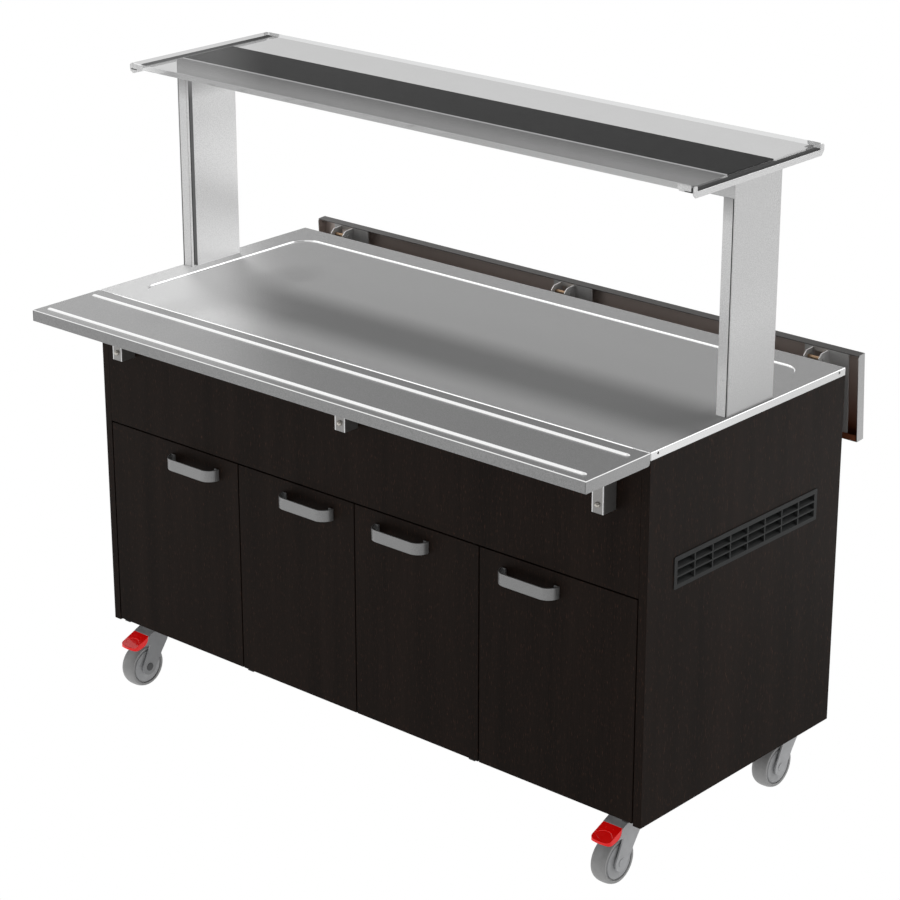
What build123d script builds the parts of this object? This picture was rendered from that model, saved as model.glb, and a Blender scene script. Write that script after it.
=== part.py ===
from build123d import *
import math
import os

# Heated buffet trolley: a wheeled cabinet with a heated worktop, a lamp
# gantry with a glass shelf, and a folding tray slide on each long side.
# Millimetres, X along the trolley, Y to the back, Z up from the floor.

# Cabinet
LENGTH = 1525.0
DEPTH = 648.0
TOP_Z = 938.0
CABINET_Z = 148.0
PANEL_T = 19.0
BOARD_T = 18.0
RIM_H = 16.0
SHEET = 1.5
FOLD_R = 2.5
FASCIA_Z = 635.5
DECK_Z = 636.0
PARTITION_X = 342.0
SHELF_Z = 395.0
FRAME_H = 20.0
FRAME_Y = 290.0
FRAME_W = 30.0

# Worktop recess
RECESS_X = 703.0
RECESS_Y = 262.0
RECESS_R = 45.0
RECESS_DROP = 2.5
RIM_HOLE_Y = 301.0
RIM_HOLE_D = 5.5
RIM_HOLE_DROP = 6.0
RIM_LIP = 15.0
HEATER = (1380.0, 500.0, 3.0)
INSULATION = (1400.0, 516.0, 30.0)

# Doors and handles
DOOR_GAP = 3.0
DOOR_Z = (152.0, 632.5)
PIVOT_IN = 18.0
PIVOT_D = 8.0
PIVOT_DEEP = 12.0
PIVOT_PLATE_Z = (148.5, 151.0)
PIVOT_PLATE_TOP = 165.0
PIVOT_PLATE_W = 16.0
RUN_FIT = 0.05
HANDLE_L = 148.0
HANDLE_H = 26.0
HANDLE_OUT = 29.0
HANDLE_T = 3.5
HANDLE_Z = 592.5
HANDLE_EDGE = 58.0

# Vent grille
GRILLE_L = 480.0
GRILLE_H = 68.0
GRILLE_Z = 666.0
GRILLE_COLUMNS = 8
GRILLE_ROWS = 3

# Tray slides: u is measured outwards from the cabinet's long face
SLIDE_L = 1525.5
SLIDE_GAP = 2.0
SLIDE_W = 190.5
SLIDE_H = 25.0
SLIDE_PIVOT_U = 42.8
SLIDE_PIVOT_Z = 909.0
SLIDE_FOLD = 86.6
BEAD_U = (38.0, 166.0)
BEAD_W = 12.0
BEAD_H = 3.4
BEAD_END = 20.0
SEAM_W = 0.8
CORNER_CUT = 5.0
HINGE_X = (-670.0, 0.0, 670.0)
EAR_IN = 17.2
EAR_OUT = 19.6
SHOULDER_D = 13.0
PIN_HEAD_D = 10.4
BRACKET_W = 28.0
BRACKET_OUT = 39.0
BRACKET_T = 2.0
BRACKET_Z = 804.0
BOLT_Z = 822.0
BOLT_R = 6.0

# Gantry
POST_X = (729.5, 753.0)
POST_Y = 76.0
POST_WALL = 2.0
POST_FOOT = 6.0
SLOT_Y = -63.0
SLOT_W = 12.0
SLOT_DEEP = 10.0
COVER_GAP = 1.5
COVER_T = 2.0
COVER_TOP = 1402.0
HOUSING_Z = (1373.0, 1412.0)
WINDOW_X = 700.0
WINDOW_Y = 60.0
LID_X = 735.0
LID_Y = 75.5
REFLECTOR_X = 698.0
REFLECTOR_LIP = 70.0
REFLECTOR_FOOT = 58.0
REFLECTOR_FLAT = 30.0
REFLECTOR_H = 29.0
REFLECTOR_T = 1.0
GLASS_Z = (1414.0, 1426.0)
GLASS_X = 757.0
GLASS_Y = 208.0
GLASS_R = 10.0
GLASS_EASE = 0.8
RAIL_OUT = 758.5
RAIL_LEDGE = 21.0
RAIL_FLANGE = 12.0
RAIL_T = 2.0
RAIL_STOP_X = (721.0, 750.5)
RAIL_STOP_H = 11.0
RAIL_STOP_CUT = 5.0
RAIL_TAB_Y = 18.0
RAIL_EAR_X = (757.4, 759.4)
RAIL_EAR_W = 11.0
RAIL_EAR_R = 4.0
LAMP_X = (-525.0, -175.0, 175.0, 525.0)
LAMP_L = 300.0
LAMP_D = 12.0
LAMP_Z = 1388.0
HOLDER_GRIP = 8.0
HOLDER_BACK = 10.0
HOLDER_Y = 11.0

# Casters
CASTER_X = 686.5
CASTER_Y = 274.0
CASTER_TRAIL = 40.0
WHEEL_R = 50.0
WHEEL_W = 36.0
HUB_R = 38.0
FORK_W = 50.0
CROWN_Z = 128.0
CAP_D = 19.0
LEG_T = 3.5
STEM_D = 12.0
AXLE_D = 8.0
PEDAL_PIVOT = (-30.0, 118.0)
PEDAL_W = 49.0
PEDAL_R = 12.2
PEDAL_CORNER = 9.0
PEDAL_EDGE = 1.4
PIN_D = 5.0

# Control recess in the left end panel
CUP_Y = 150.0
CUP_Z = (745.0, 845.0)
CUP_DEPTH = 41.5
CUP_SHEET = 1.2
CUP_FLANGE = 18.0
CUP_CLEAR = 9.0
CUP_CORNER = 8.0
KNOB_AT = (95.0, 795.0)
SWITCH_AT = (0.0, 795.0)
INLET_AT = (-90.0, 795.0)

HALF_L = LENGTH / 2
HALF_D = DEPTH / 2
FACE_IN = HALF_D - PANEL_T
END_IN = HALF_L - PANEL_T
PANEL_TOP = TOP_Z - RIM_H
FLOOR_Z = CABINET_Z + FRAME_H
DOOR_Y = -HALF_D + PANEL_T / 2
OUTWARD = SLIDE_GAP + SLIDE_W


def block(x, y, z):
    """A straight board or bar between two limits on each axis."""
    board = Box(x[1] - x[0], y[1] - y[0], z[1] - z[0])
    return Pos((x[0] + x[1]) / 2, (y[0] + y[1]) / 2, (z[0] + z[1]) / 2) * board


def rod(radius, start, end):
    """A round bar between two points on one axis."""
    a = Vector(*start)
    b = Vector(*end)
    return Solid.make_cylinder(radius, (b - a).length, Plane(a, z_dir=b - a))


def along_x(face, x0, x1):
    """Extrude a profile drawn in Y and Z between two places along X."""
    return Pos(x0, 0, 0) * extrude(Plane.YZ * face, amount=x1 - x0, dir=(1, 0, 0))


def up(face, z0, z1):
    """Extrude a profile drawn in X and Y between two heights."""
    return Pos(0, 0, z0) * extrude(face, amount=z1 - z0, dir=(0, 0, 1))


def soft(body, radius, axis):
    """Round the edges of a body that run along one axis."""
    return fillet(body.edges().filter_by(axis), radius)


def left_right(body):
    """A body and its mirror image at the other end of the trolley."""
    return [body, mirror(body, about=Plane.YZ)]


def side_panel():
    """Right end panel with the opening for its vent."""
    panel = block((END_IN, HALF_L), (-HALF_D, HALF_D), (CABINET_Z, PANEL_TOP))
    panel = fillet(panel.edges().filter_by(Axis.Z).group_by(Axis.X)[-1], 1.0)
    vent = Box(80, GRILLE_L - 12, GRILLE_H - 12)
    panel -= Pos(HALF_L, 0, GRILLE_Z) * vent
    for y in SHELF_PIN_Y:
        panel -= rod(2.5, (END_IN, y, SHELF_Z - 2.5), (END_IN + 8, y, SHELF_Z - 2.5))
    return panel


def vent_grille():
    """Louvred vent: a thin frame round slanted cells in rows and columns."""
    frame = block((HALF_L, HALF_L + 1.5), (-GRILLE_L / 2, GRILLE_L / 2), (0, GRILLE_H))
    frame = soft(frame, 3.0, Axis.X)
    inner = (GRILLE_L - 12.6, GRILLE_H - 12.6)
    core = Pos(HALF_L - 6, 0, GRILLE_H / 2) * Box(12, *inner)
    pitch_y = (inner[0] - 3) / GRILLE_COLUMNS
    pitch_z = (inner[1] - 3) / GRILLE_ROWS
    cells = Sketch() + GridLocations(pitch_y, pitch_z, GRILLE_COLUMNS, GRILLE_ROWS) * Rectangle(
        pitch_y - 3.5, pitch_z - 3.0
    )
    slant = Vector(-1, 0, 0.55)
    start = Plane((HALF_L + 4, 0, GRILLE_H / 2 - 2.2), x_dir=(0, 1, 0), z_dir=(1, 0, 0))
    cut = extrude(start * cells, amount=24, dir=slant.normalized())
    return Pos(0, 0, GRILLE_Z - GRILLE_H / 2) * (frame + core - cut)


def base_frame():
    """Folded channel ladder that carries the casters and the floor board."""
    ladder = Sketch() + Rectangle(2 * END_IN, 2 * FRAME_Y)
    bay = END_IN - FRAME_W - PARTITION_X - FRAME_W / 2
    bay_x = PARTITION_X + FRAME_W / 2 + bay / 2
    for x, width in ((-bay_x, bay), (0, 2 * PARTITION_X - FRAME_W), (bay_x, bay)):
        ladder -= Pos(x, 0) * Rectangle(width, 2 * (FRAME_Y - FRAME_W))
    core = offset(ladder, amount=-2.0, kind=Kind.INTERSECTION)
    frame = up(ladder, CABINET_Z, FLOOR_Z) - up(core, CABINET_Z, FLOOR_Z - 2)
    for x in (-CASTER_X, CASTER_X):
        for y in (-FRAME_Y + FRAME_W / 2, FRAME_Y - FRAME_W / 2):
            pad = block((x - 40, x + 40), (y - 14, y + 14), (CABINET_Z, CABINET_Z + 4))
            frame += pad
    for x, y in caster_places():
        frame -= rod(STEM_D / 2, (x, y, CABINET_Z), (x, y, CABINET_Z + 4))
    return frame


def caster_places():
    """Stem axes of the four casters: front left, front right, rear left, rear right."""
    return [(sx * CASTER_X, sy * CASTER_Y) for sy in (-1, 1) for sx in (-1, 1)]


def worktop():
    """Stainless top: folded rim with fixing holes in its ends, return lip and a shallow recess."""
    outer = block((-HALF_L, HALF_L), (-HALF_D, HALF_D), (PANEL_TOP, TOP_Z))
    outer = soft(outer, FOLD_R, Axis.Z)
    outer = fillet(outer.faces().sort_by(Axis.Z)[-1].edges(), FOLD_R - 0.5)
    x, y = HALF_L - SHEET, HALF_D - SHEET
    inside = block((-x, x), (-y, y), (PANEL_TOP + SHEET, TOP_Z - SHEET))
    x, y = HALF_L - RIM_LIP, HALF_D - RIM_LIP
    mouth = block((-x, x), (-y, y), (PANEL_TOP, PANEL_TOP + SHEET))
    floor = RectangleRounded(2 * (RECESS_X + SHEET), 2 * (RECESS_Y + SHEET), RECESS_R + SHEET)
    pocket = RectangleRounded(2 * RECESS_X, 2 * RECESS_Y, RECESS_R)
    top = outer - inside - mouth
    top += up(floor, TOP_Z - RECESS_DROP - SHEET, TOP_Z - SHEET)
    top -= Pos(0, 0, TOP_Z) * extrude(pocket, amount=-RECESS_DROP, taper=40)
    z = TOP_Z - RIM_HOLE_DROP
    for y in (-RIM_HOLE_Y, RIM_HOLE_Y):
        top -= rod(RIM_HOLE_D / 2, (-LENGTH, y, z), (LENGTH, y, z))
    return top


def heater_mat():
    """Thin foil heater bonded under the recess."""
    length, depth, thickness = HEATER
    z = TOP_Z - RECESS_DROP - SHEET
    return up(RectangleRounded(length, depth, RECESS_R - 15), z - thickness, z)


def insulation_board():
    """Insulation glued below the heater."""
    length, depth, thickness = INSULATION
    z = TOP_Z - RECESS_DROP - SHEET - HEATER[2]
    return up(RectangleRounded(length, depth, RECESS_R - 25), z - thickness, z)


def gantry_post():
    """Right upright: a closed tube with a slot down the front of its inner face."""
    x0, x1 = POST_X
    outline = Pos((x0 + x1) / 2, 0) * Rectangle(x1 - x0, 2 * POST_Y)
    outline = fillet(outline.vertices(), 1.5)
    outline -= Pos(x0 + SLOT_DEEP / 2, SLOT_Y) * Rectangle(SLOT_DEEP, SLOT_W)
    core = offset(outline, amount=-POST_WALL, kind=Kind.INTERSECTION)
    return up(outline, TOP_Z, HOUSING_Z[0]) - up(core, TOP_Z + POST_FOOT, HOUSING_Z[0])


def post_cover():
    """Right outer cover plate, held off the tube by a pad to leave a shadow gap."""
    x1 = POST_X[1]
    x2 = x1 + COVER_GAP
    plate = block((x2, x2 + COVER_T), (-POST_Y, POST_Y), (TOP_Z, COVER_TOP))
    plate = fillet(plate.edges().filter_by(Axis.Z).group_by(Axis.X)[-1], COVER_T / 2)
    pad = block((x1, x2), (-POST_Y + 14, POST_Y - 14), (TOP_Z + 12, HOUSING_Z[0]))
    return plate + pad


def lamp_housing():
    """Long lamp box with a window in its underside."""
    end = POST_X[1] + 1.2
    z0, z1 = HOUSING_Z
    shell = block((-end, end), (-POST_Y, POST_Y), HOUSING_Z)
    shell = soft(shell, 1.4, Axis.X)
    shell -= block((SHEET - end, end - SHEET), (SHEET - POST_Y, POST_Y - SHEET), (z0 + SHEET, z1 - SHEET))
    shell -= block((-WINDOW_X, WINDOW_X), (-WINDOW_Y, WINDOW_Y), (z0, z0 + SHEET))
    return shell


def lamp_reflector():
    """Bent trough behind the lamps, standing on the housing's lower lips."""
    z = HOUSING_Z[0] + SHEET
    ridge = z + REFLECTOR_H
    slack = 0.4 * REFLECTOR_T
    above = [(REFLECTOR_FLAT + slack, ridge), (REFLECTOR_FOOT + slack, z + REFLECTOR_T)]
    below = [(REFLECTOR_FOOT, z), (REFLECTOR_FLAT, ridge - REFLECTOR_T)]
    half = above + [(REFLECTOR_LIP, z + REFLECTOR_T), (REFLECTOR_LIP, z)] + below
    trough = Polygon(*half, *[(-y, height) for y, height in reversed(half)], align=None)
    return along_x(trough, -REFLECTOR_X, REFLECTOR_X)


def heat_lamps():
    """Four quartz tubes in line."""
    half = LAMP_L / 2
    return [rod(LAMP_D / 2, (x - half, 0, LAMP_Z), (x + half, 0, LAMP_Z)) for x in LAMP_X]


def lamp_holders():
    """Ceramic sockets at the ends of the tubes, fixed to the reflector's flat."""
    top = HOUSING_Z[0] + SHEET + REFLECTOR_H - REFLECTOR_T
    holders = []
    for x in LAMP_X:
        for side in (-1, 1):
            face = x + side * LAMP_L / 2
            ends = sorted((face - side * HOLDER_GRIP, face + side * HOLDER_BACK))
            body = block(ends, (-HOLDER_Y, HOLDER_Y), (LAMP_Z - HOLDER_BACK, top))
            body = soft(body, 3.0, Axis.Y)
            holders.append(body - rod(LAMP_D / 2, (face - HOLDER_GRIP * side, 0, LAMP_Z), (face, 0, LAMP_Z)))
    return holders


def glass_shelf():
    """Toughened glass with rounded corners and eased edges."""
    pane = up(RectangleRounded(2 * GLASS_X, 2 * GLASS_Y, GLASS_R), *GLASS_Z)
    return chamfer(pane.faces().sort_by(Axis.Z)[-1].edges(), GLASS_EASE)


def glass_rail():
    """Right end rail: a ledge under the glass bent down into a flange, with a stop and an ear at each end."""
    top = GLASS_Z[0]
    under = top - RAIL_T
    foot = top - RAIL_FLANGE
    inner = RAIL_OUT - RAIL_LEDGE
    wall = RAIL_OUT - 0.9 * RAIL_T
    depth = GLASS_Y + 2.3
    corners = [(RAIL_OUT, top), (RAIL_OUT, foot), (wall, foot), (wall, under), (inner, under), (inner, top)]
    bend = Polygon(*corners, align=None)
    bend = fillet(bend.vertices().sort_by_distance(corners[0])[0], 1.6)
    rail = extrude(Plane.XZ * bend, amount=depth, both=True)
    for side in (-1, 1):
        rail -= Pos(RAIL_OUT, side * depth, foot) * Rot(X=45) * Box(50, 10, 10)
        tab_y, stop_y, ear_y = (
            sorted((side * (depth - deep), side * depth)) for deep in (RAIL_TAB_Y, RAIL_T, RAIL_EAR_W)
        )
        rail += block((RAIL_STOP_X[0] + RAIL_STOP_CUT, inner), tab_y, (under, top))
        stop = block(RAIL_STOP_X, stop_y, (under, top + RAIL_STOP_H))
        lower = stop.edges().filter_by(Axis.Y).group_by(Axis.Z)[0]
        rail += chamfer(lower.sort_by(Axis.X)[0], RAIL_STOP_CUT)
        ear = block(RAIL_EAR_X, ear_y, (under, top + RAIL_STOP_H))
        rail += fillet(ear.edges().filter_by(Axis.X).group_by(Axis.Z)[-1], RAIL_EAR_R)
    return rail


def fascia_panel():
    """Front board above the doors, bored for the upper door pivots."""
    board = block((0.6 - END_IN, END_IN - 0.6), (-HALF_D, -FACE_IN), (FASCIA_Z, PANEL_TOP))
    board = fillet(board.faces().sort_by(Axis.Y)[0].edges().sort_by(Axis.Z)[0], 0.8)
    for door_spec in DOORS:
        x = door_spec["pivot"]
        board -= rod(PIVOT_D / 2, (x, DOOR_Y, FASCIA_Z), (x, DOOR_Y, FASCIA_Z + PIVOT_DEEP + 2))
    return board


def door(spec):
    """Flush door with a bore in each end for its pivots."""
    x0, x1 = spec["x"]
    leaf = block((x0, x1), (-HALF_D, -FACE_IN), DOOR_Z)
    leaf = fillet(leaf.faces().sort_by(Axis.Y)[0].edges(), 0.8)
    r = PIVOT_D / 2 + RUN_FIT
    x = spec["pivot"]
    bore = PIVOT_DEEP + 1
    leaf -= rod(r, (x, DOOR_Y, DOOR_Z[0]), (x, DOOR_Y, DOOR_Z[0] + bore))
    leaf -= rod(r, (x, DOOR_Y, DOOR_Z[1] - bore), (x, DOOR_Y, DOOR_Z[1]))
    return leaf


def handle(spec):
    """Bow handle bent from flat strip, with a foot at each end."""
    outer = Rectangle(HANDLE_L, 2 * HANDLE_OUT)
    outer = fillet(outer.vertices(), HANDLE_OUT - 1)
    inner = Rectangle(HANDLE_L - 2 * HANDLE_T, 2 * (HANDLE_OUT - HANDLE_T))
    inner = fillet(inner.vertices(), HANDLE_OUT - HANDLE_T - 1)
    bow = outer - inner - Pos(0, HANDLE_OUT) * Rectangle(2 * HANDLE_L, 2 * HANDLE_OUT)
    for side in (-1, 1):
        bow += Pos(side * (HANDLE_L / 2 - 6), -1.75) * Rectangle(12, 3.5)
    body = up(bow, HANDLE_Z - HANDLE_H / 2, HANDLE_Z + HANDLE_H / 2)
    rims = body.faces().sort_by(Axis.Z)
    body = fillet(rims[0].edges() + rims[-1].edges(), 0.7)
    return Pos(spec["handle"], -HALF_D, 0) * body


def door_pivot_plates():
    """Bent plates on the frame's front, each with a pin under a door."""
    low, high = PIVOT_PLATE_Z
    front = -HALF_D + 2
    bend = -FRAME_Y - (high - low)
    foot = [(front, low), (front, high), (bend, high), (bend, PIVOT_PLATE_TOP)]
    section = Polygon(*foot, (-FRAME_Y, PIVOT_PLATE_TOP), (-FRAME_Y, low), align=None)
    plates = []
    for door_spec in DOORS:
        x = door_spec["pivot"]
        plate = along_x(section, x - PIVOT_PLATE_W / 2, x + PIVOT_PLATE_W / 2)
        plates.append(plate + rod(PIVOT_D / 2, (x, DOOR_Y, high), (x, DOOR_Y, DOOR_Z[0] + PIVOT_DEEP)))
    return plates


def hinge_fasteners():
    """Upper door pins, shouldered slide pivot pins and the domed bolts on the brackets."""
    pins = []
    for door_spec in DOORS:
        x = door_spec["pivot"]
        ends = (DOOR_Z[1] - PIVOT_DEEP, FASCIA_Z + PIVOT_DEEP + 2)
        pins.append(rod(PIVOT_D / 2, (x, DOOR_Y, ends[0]), (x, DOOR_Y, ends[1])))
    for side in (-1, 1):
        y = side * (HALF_D + SLIDE_PIVOT_U)
        for x in HINGE_X:
            pins.append(Pos(x, y, SLIDE_PIVOT_Z) * slide_pin())
            pins.append(Pos(x, side * (HALF_D + BRACKET_OUT), BOLT_Z) * Rot(X=-90 * side) * dome_bolt())
    return pins


def slide_pin():
    """Pivot pin of a slide, with a shoulder on each side of the bracket and a head outside each ear."""
    pin = rod(PIVOT_D / 2, (-EAR_OUT - 2, 0, 0), (EAR_OUT + 2, 0, 0))
    for end in (-1, 1):
        pin += rod(SHOULDER_D / 2, (end * BRACKET_W / 2, 0, 0), (end * (EAR_IN - 0.3), 0, 0))
        pin += rod(PIN_HEAD_D / 2, (end * (EAR_OUT + 0.3), 0, 0), (end * (EAR_OUT + 2.6), 0, 0))
    return pin


def dome_bolt():
    """Domed bolt head, half a ball on a low collar."""
    collar = 0.8
    dome = Pos(0, 0, collar) * Sphere(BOLT_R, arc_size1=0, align=(Align.CENTER, Align.CENTER, Align.MIN))
    return dome + Pos(0, 0, collar / 2) * Cylinder(BOLT_R, collar)


def slide_bracket(x):
    """Folded box bracket on the front face, its side walls carried up to a pivot lug."""
    section = Pos(x, -HALF_D - BRACKET_OUT / 2) * Rectangle(BRACKET_W, BRACKET_OUT)
    section += Pos(x, -HALF_D - BRACKET_OUT / 2 - 8) * Rectangle(BRACKET_W, BRACKET_OUT)
    walls = up(section, BRACKET_Z, SLIDE_PIVOT_Z + 12)
    walls = fillet(walls.edges().filter_by(Axis.Z).group_by(Axis.Y)[0], 3.0)
    between = (x - BRACKET_W / 2 + BRACKET_T, x + BRACKET_W / 2 - BRACKET_T)
    depth = (-HALF_D - BRACKET_OUT + BRACKET_T, -HALF_D - BRACKET_T)
    walls -= block(between, depth, (BRACKET_Z, SLIDE_PIVOT_Z + 12))
    walls -= block(between, (-HALF_D - 60, -HALF_D - 20), (868, 930))
    outline = Polygon(
        (0, BRACKET_Z), (BRACKET_OUT, BRACKET_Z), (BRACKET_OUT, 878), (SLIDE_PIVOT_U + 11, 902),
        (SLIDE_PIVOT_U - 11, 902), (28, 888.5), (0, 888.5), align=None,
    )
    lug = Pos(SLIDE_PIVOT_U, SLIDE_PIVOT_Z) * Circle(11.5)
    lug += Pos(SLIDE_PIVOT_U, SLIDE_PIVOT_Z - 6) * Rectangle(22, 12)
    side_view = Plane((x - 20, -HALF_D, 0), x_dir=(0, -1, 0), z_dir=(-1, 0, 0))
    keep = extrude(side_view * (outline + lug), amount=40, dir=(1, 0, 0))
    bracket = walls & keep
    y = -HALF_D - SLIDE_PIVOT_U
    return bracket - rod(PIVOT_D / 2, (x - 20, y, SLIDE_PIVOT_Z), (x + 20, y, SLIDE_PIVOT_Z))


def slide_brackets():
    """Three brackets on each long face."""
    front = [slide_bracket(x) for x in HINGE_X]
    return front + [mirror(b, about=Plane.XZ) for b in front]


def tray_slide():
    """Front tray slide, raised: a folded pan with open corner seams and two raised runners."""
    y0 = -HALF_D - OUTWARD
    y1 = -HALF_D - SLIDE_GAP
    z0 = TOP_Z - SLIDE_H
    end = SLIDE_L / 2
    pan = block((-end, end), (y0, y1), (z0, TOP_Z))
    pan = fillet(pan.faces().sort_by(Axis.Z)[-1].edges(), FOLD_R)
    hollow = block((SHEET - end, end - SHEET), (y0 + SHEET, y1 - SHEET), (z0, TOP_Z - SHEET))
    pan -= fillet(hollow.faces().sort_by(Axis.Z)[-1].edges(), FOLD_R - SHEET)
    seam = block((end - SHEET - SEAM_W, end - SHEET), (y0 - 1, y0 + SHEET), (z0, TOP_Z - FOLD_R))
    corner = Polygon((y1, z0), (y1, z0 + CORNER_CUT), (y1 - CORNER_CUT, z0), align=None)
    clipped = along_x(corner, end - SHEET, end)
    for cut in (seam, clipped):
        pan -= cut
        pan -= mirror(cut, about=Plane.YZ)
    pan += block((4 - end, end - 4), (y0 + SHEET, y0 + 14), (z0, z0 + SHEET))
    for u in BEAD_U:
        pan += Pos(0, -HALF_D - u, TOP_Z) * runner()
    return pan


def runner():
    """Raised runner: a rounded ridge that ends in the same curve."""
    radius = (BEAD_W**2 / 4 + BEAD_H**2) / (2 * BEAD_H)
    reach = SLIDE_L / 2 - BEAD_END - BEAD_W / 2
    sink = BEAD_H - radius
    ridge = rod(radius, (-reach, 0, sink), (reach, 0, sink))
    for x in (-reach, reach):
        ridge += Pos(x, 0, sink) * Sphere(radius)
    return ridge & Pos(0, 0, BEAD_H / 2) * Box(SLIDE_L, 2 * BEAD_W, BEAD_H)


def slide_hinge(x):
    """Hinge under the front slide: a long plate, two ears and a spacer pin between them."""
    z = TOP_Z - SLIDE_H + SHEET
    plate = block((x - 40, x + 68), (-HALF_D - OUTWARD + 2, -HALF_D - SLIDE_GAP - SHEET), (z, z + 2))
    plate -= block((x - EAR_IN, x + EAR_IN), (-HALF_D - 68, -HALF_D - 14), (z, z + 2))
    outline = Polygon(
        (5.5, z), (5.5, 889), (14.5, 878.5), (40, 885), (56, 899), (57, z), align=None
    )
    outline -= Pos(SLIDE_PIVOT_U, SLIDE_PIVOT_Z) * Circle(PIVOT_D / 2 + RUN_FIT)
    side_view = Plane((0, -HALF_D, 0), x_dir=(0, -1, 0), z_dir=(-1, 0, 0))
    ear = extrude(side_view * outline, amount=EAR_OUT - EAR_IN, dir=(1, 0, 0))
    hinge = plate + Pos(x - EAR_OUT, 0, 0) * ear + Pos(x + EAR_IN, 0, 0) * ear
    y = -HALF_D - 19.9
    return hinge + rod(4, (x - EAR_OUT - 3, y, 894.3), (x + EAR_OUT + 3, y, 894.3))


def folded_back(body):
    """Mirror a front slide piece to the back and fold it down about its pivot."""
    rear = mirror(body, about=Plane.XZ)
    pivot = Pos(0, HALF_D + SLIDE_PIVOT_U, SLIDE_PIVOT_Z)
    return pivot * Rot(X=-SLIDE_FOLD) * pivot.inverse() * rear


def caster_stem(x, y):
    """Swivel head: race, stem bolt with its lower collar, and the nut above."""
    profile = make_face(
        Polyline(
            (0, 123.5), (10, 123.5), (10, 127.6), (6, 127.6), (6, 134.4), (24, 134.4), (27, 137), (27, 145),
            (24, 148), (6, 148), (6, 165), (0, 165), (0, 123.5),
        )
    )
    stem = revolve(Plane.XZ * profile, axis=Axis.Z)
    nut = up(RegularPolygon(10.5, 6), 152, 162) - rod(STEM_D / 2, (0, 0, 152), (0, 0, 162))
    return Pos(x, y, 0) * (stem + nut)


def about_pin(radius, angle):
    """A point round the pedal's pin, in the fork's side view."""
    turn = math.radians(angle)
    return (PEDAL_PIVOT[0] + radius * math.cos(turn), PEDAL_PIVOT[1] + radius * math.sin(turn))


def fork_side(braked):
    """Side view of a fork: a leg that narrows to the axle, with a cheek under the pedal if it has one."""
    leg = Polygon(
        (-35, 127.6), (-35, 104), (-58, 57), (-56, 44), (-22, 46), (-12, 58), (-2, 76), (16, 101), (27, 121),
        (27, 134), (-19, 134), align=None,
    )
    leg += Pos(-CASTER_TRAIL, WHEEL_R) * Circle(19)
    if braked:
        tip = (-57.6, 103.6)
        near = PEDAL_R - 0.4
        cheek = make_face(
            [
                Polyline((-30, 104), (-30, 129.6), about_pin(near, 136)),
                ThreePointArc(about_pin(near, 136), about_pin(near, 150), about_pin(near, 165)),
                ThreePointArc(about_pin(near, 165), (-46.6, 109.4), tip),
                ThreePointArc(tip, (-46, 104), (-33.7, 101.8)),
                Line((-33.7, 101.8), (-30, 104)),
            ]
        )
        leg += cheek
    return leg


def caster_fork(x, y):
    """Moulded fork: a sloping crown over the wheel, two legs, the axle bolt and its caps."""
    braked = y < 0
    axle = (-CASTER_TRAIL, WHEEL_R)
    body = along_x(fork_side(braked), -FORK_W / 2, FORK_W / 2)
    inner = FORK_W / 2 - LEG_T
    under_crown = Polygon(
        (-90, 0), (60, 0), (60, CROWN_Z), (-20, CROWN_Z), about_pin(9.7, 149.7), (-90, 108.6), align=None
    )
    body -= along_x(under_crown, -inner, inner)
    body -= rod(STEM_D / 2 + RUN_FIT, (0, 0, CROWN_Z), (0, 0, 134))
    body -= rod(AXLE_D / 2, (-30, *axle), (30, *axle))
    bolt = rod(AXLE_D / 2, (-FORK_W / 2, *axle), (FORK_W / 2, *axle))
    for side in (-1, 1):
        cap = rod(CAP_D / 2, (side * FORK_W / 2, *axle), (side * (FORK_W / 2 + 1.2), *axle))
        bolt += chamfer(cap.edges().sort_by(Axis.X)[-1 if side > 0 else 0], 0.6)
    pieces = [body, bolt]
    if braked:
        pieces[0] = body - rod(PIN_D / 2, (-30, *PEDAL_PIVOT), (30, *PEDAL_PIVOT))
        pieces.append(rod(PIN_D / 2, (-FORK_W / 2, *PEDAL_PIVOT), (FORK_W / 2, *PEDAL_PIVOT)))
    return [Pos(x, y, 0) * piece for piece in pieces]


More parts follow.
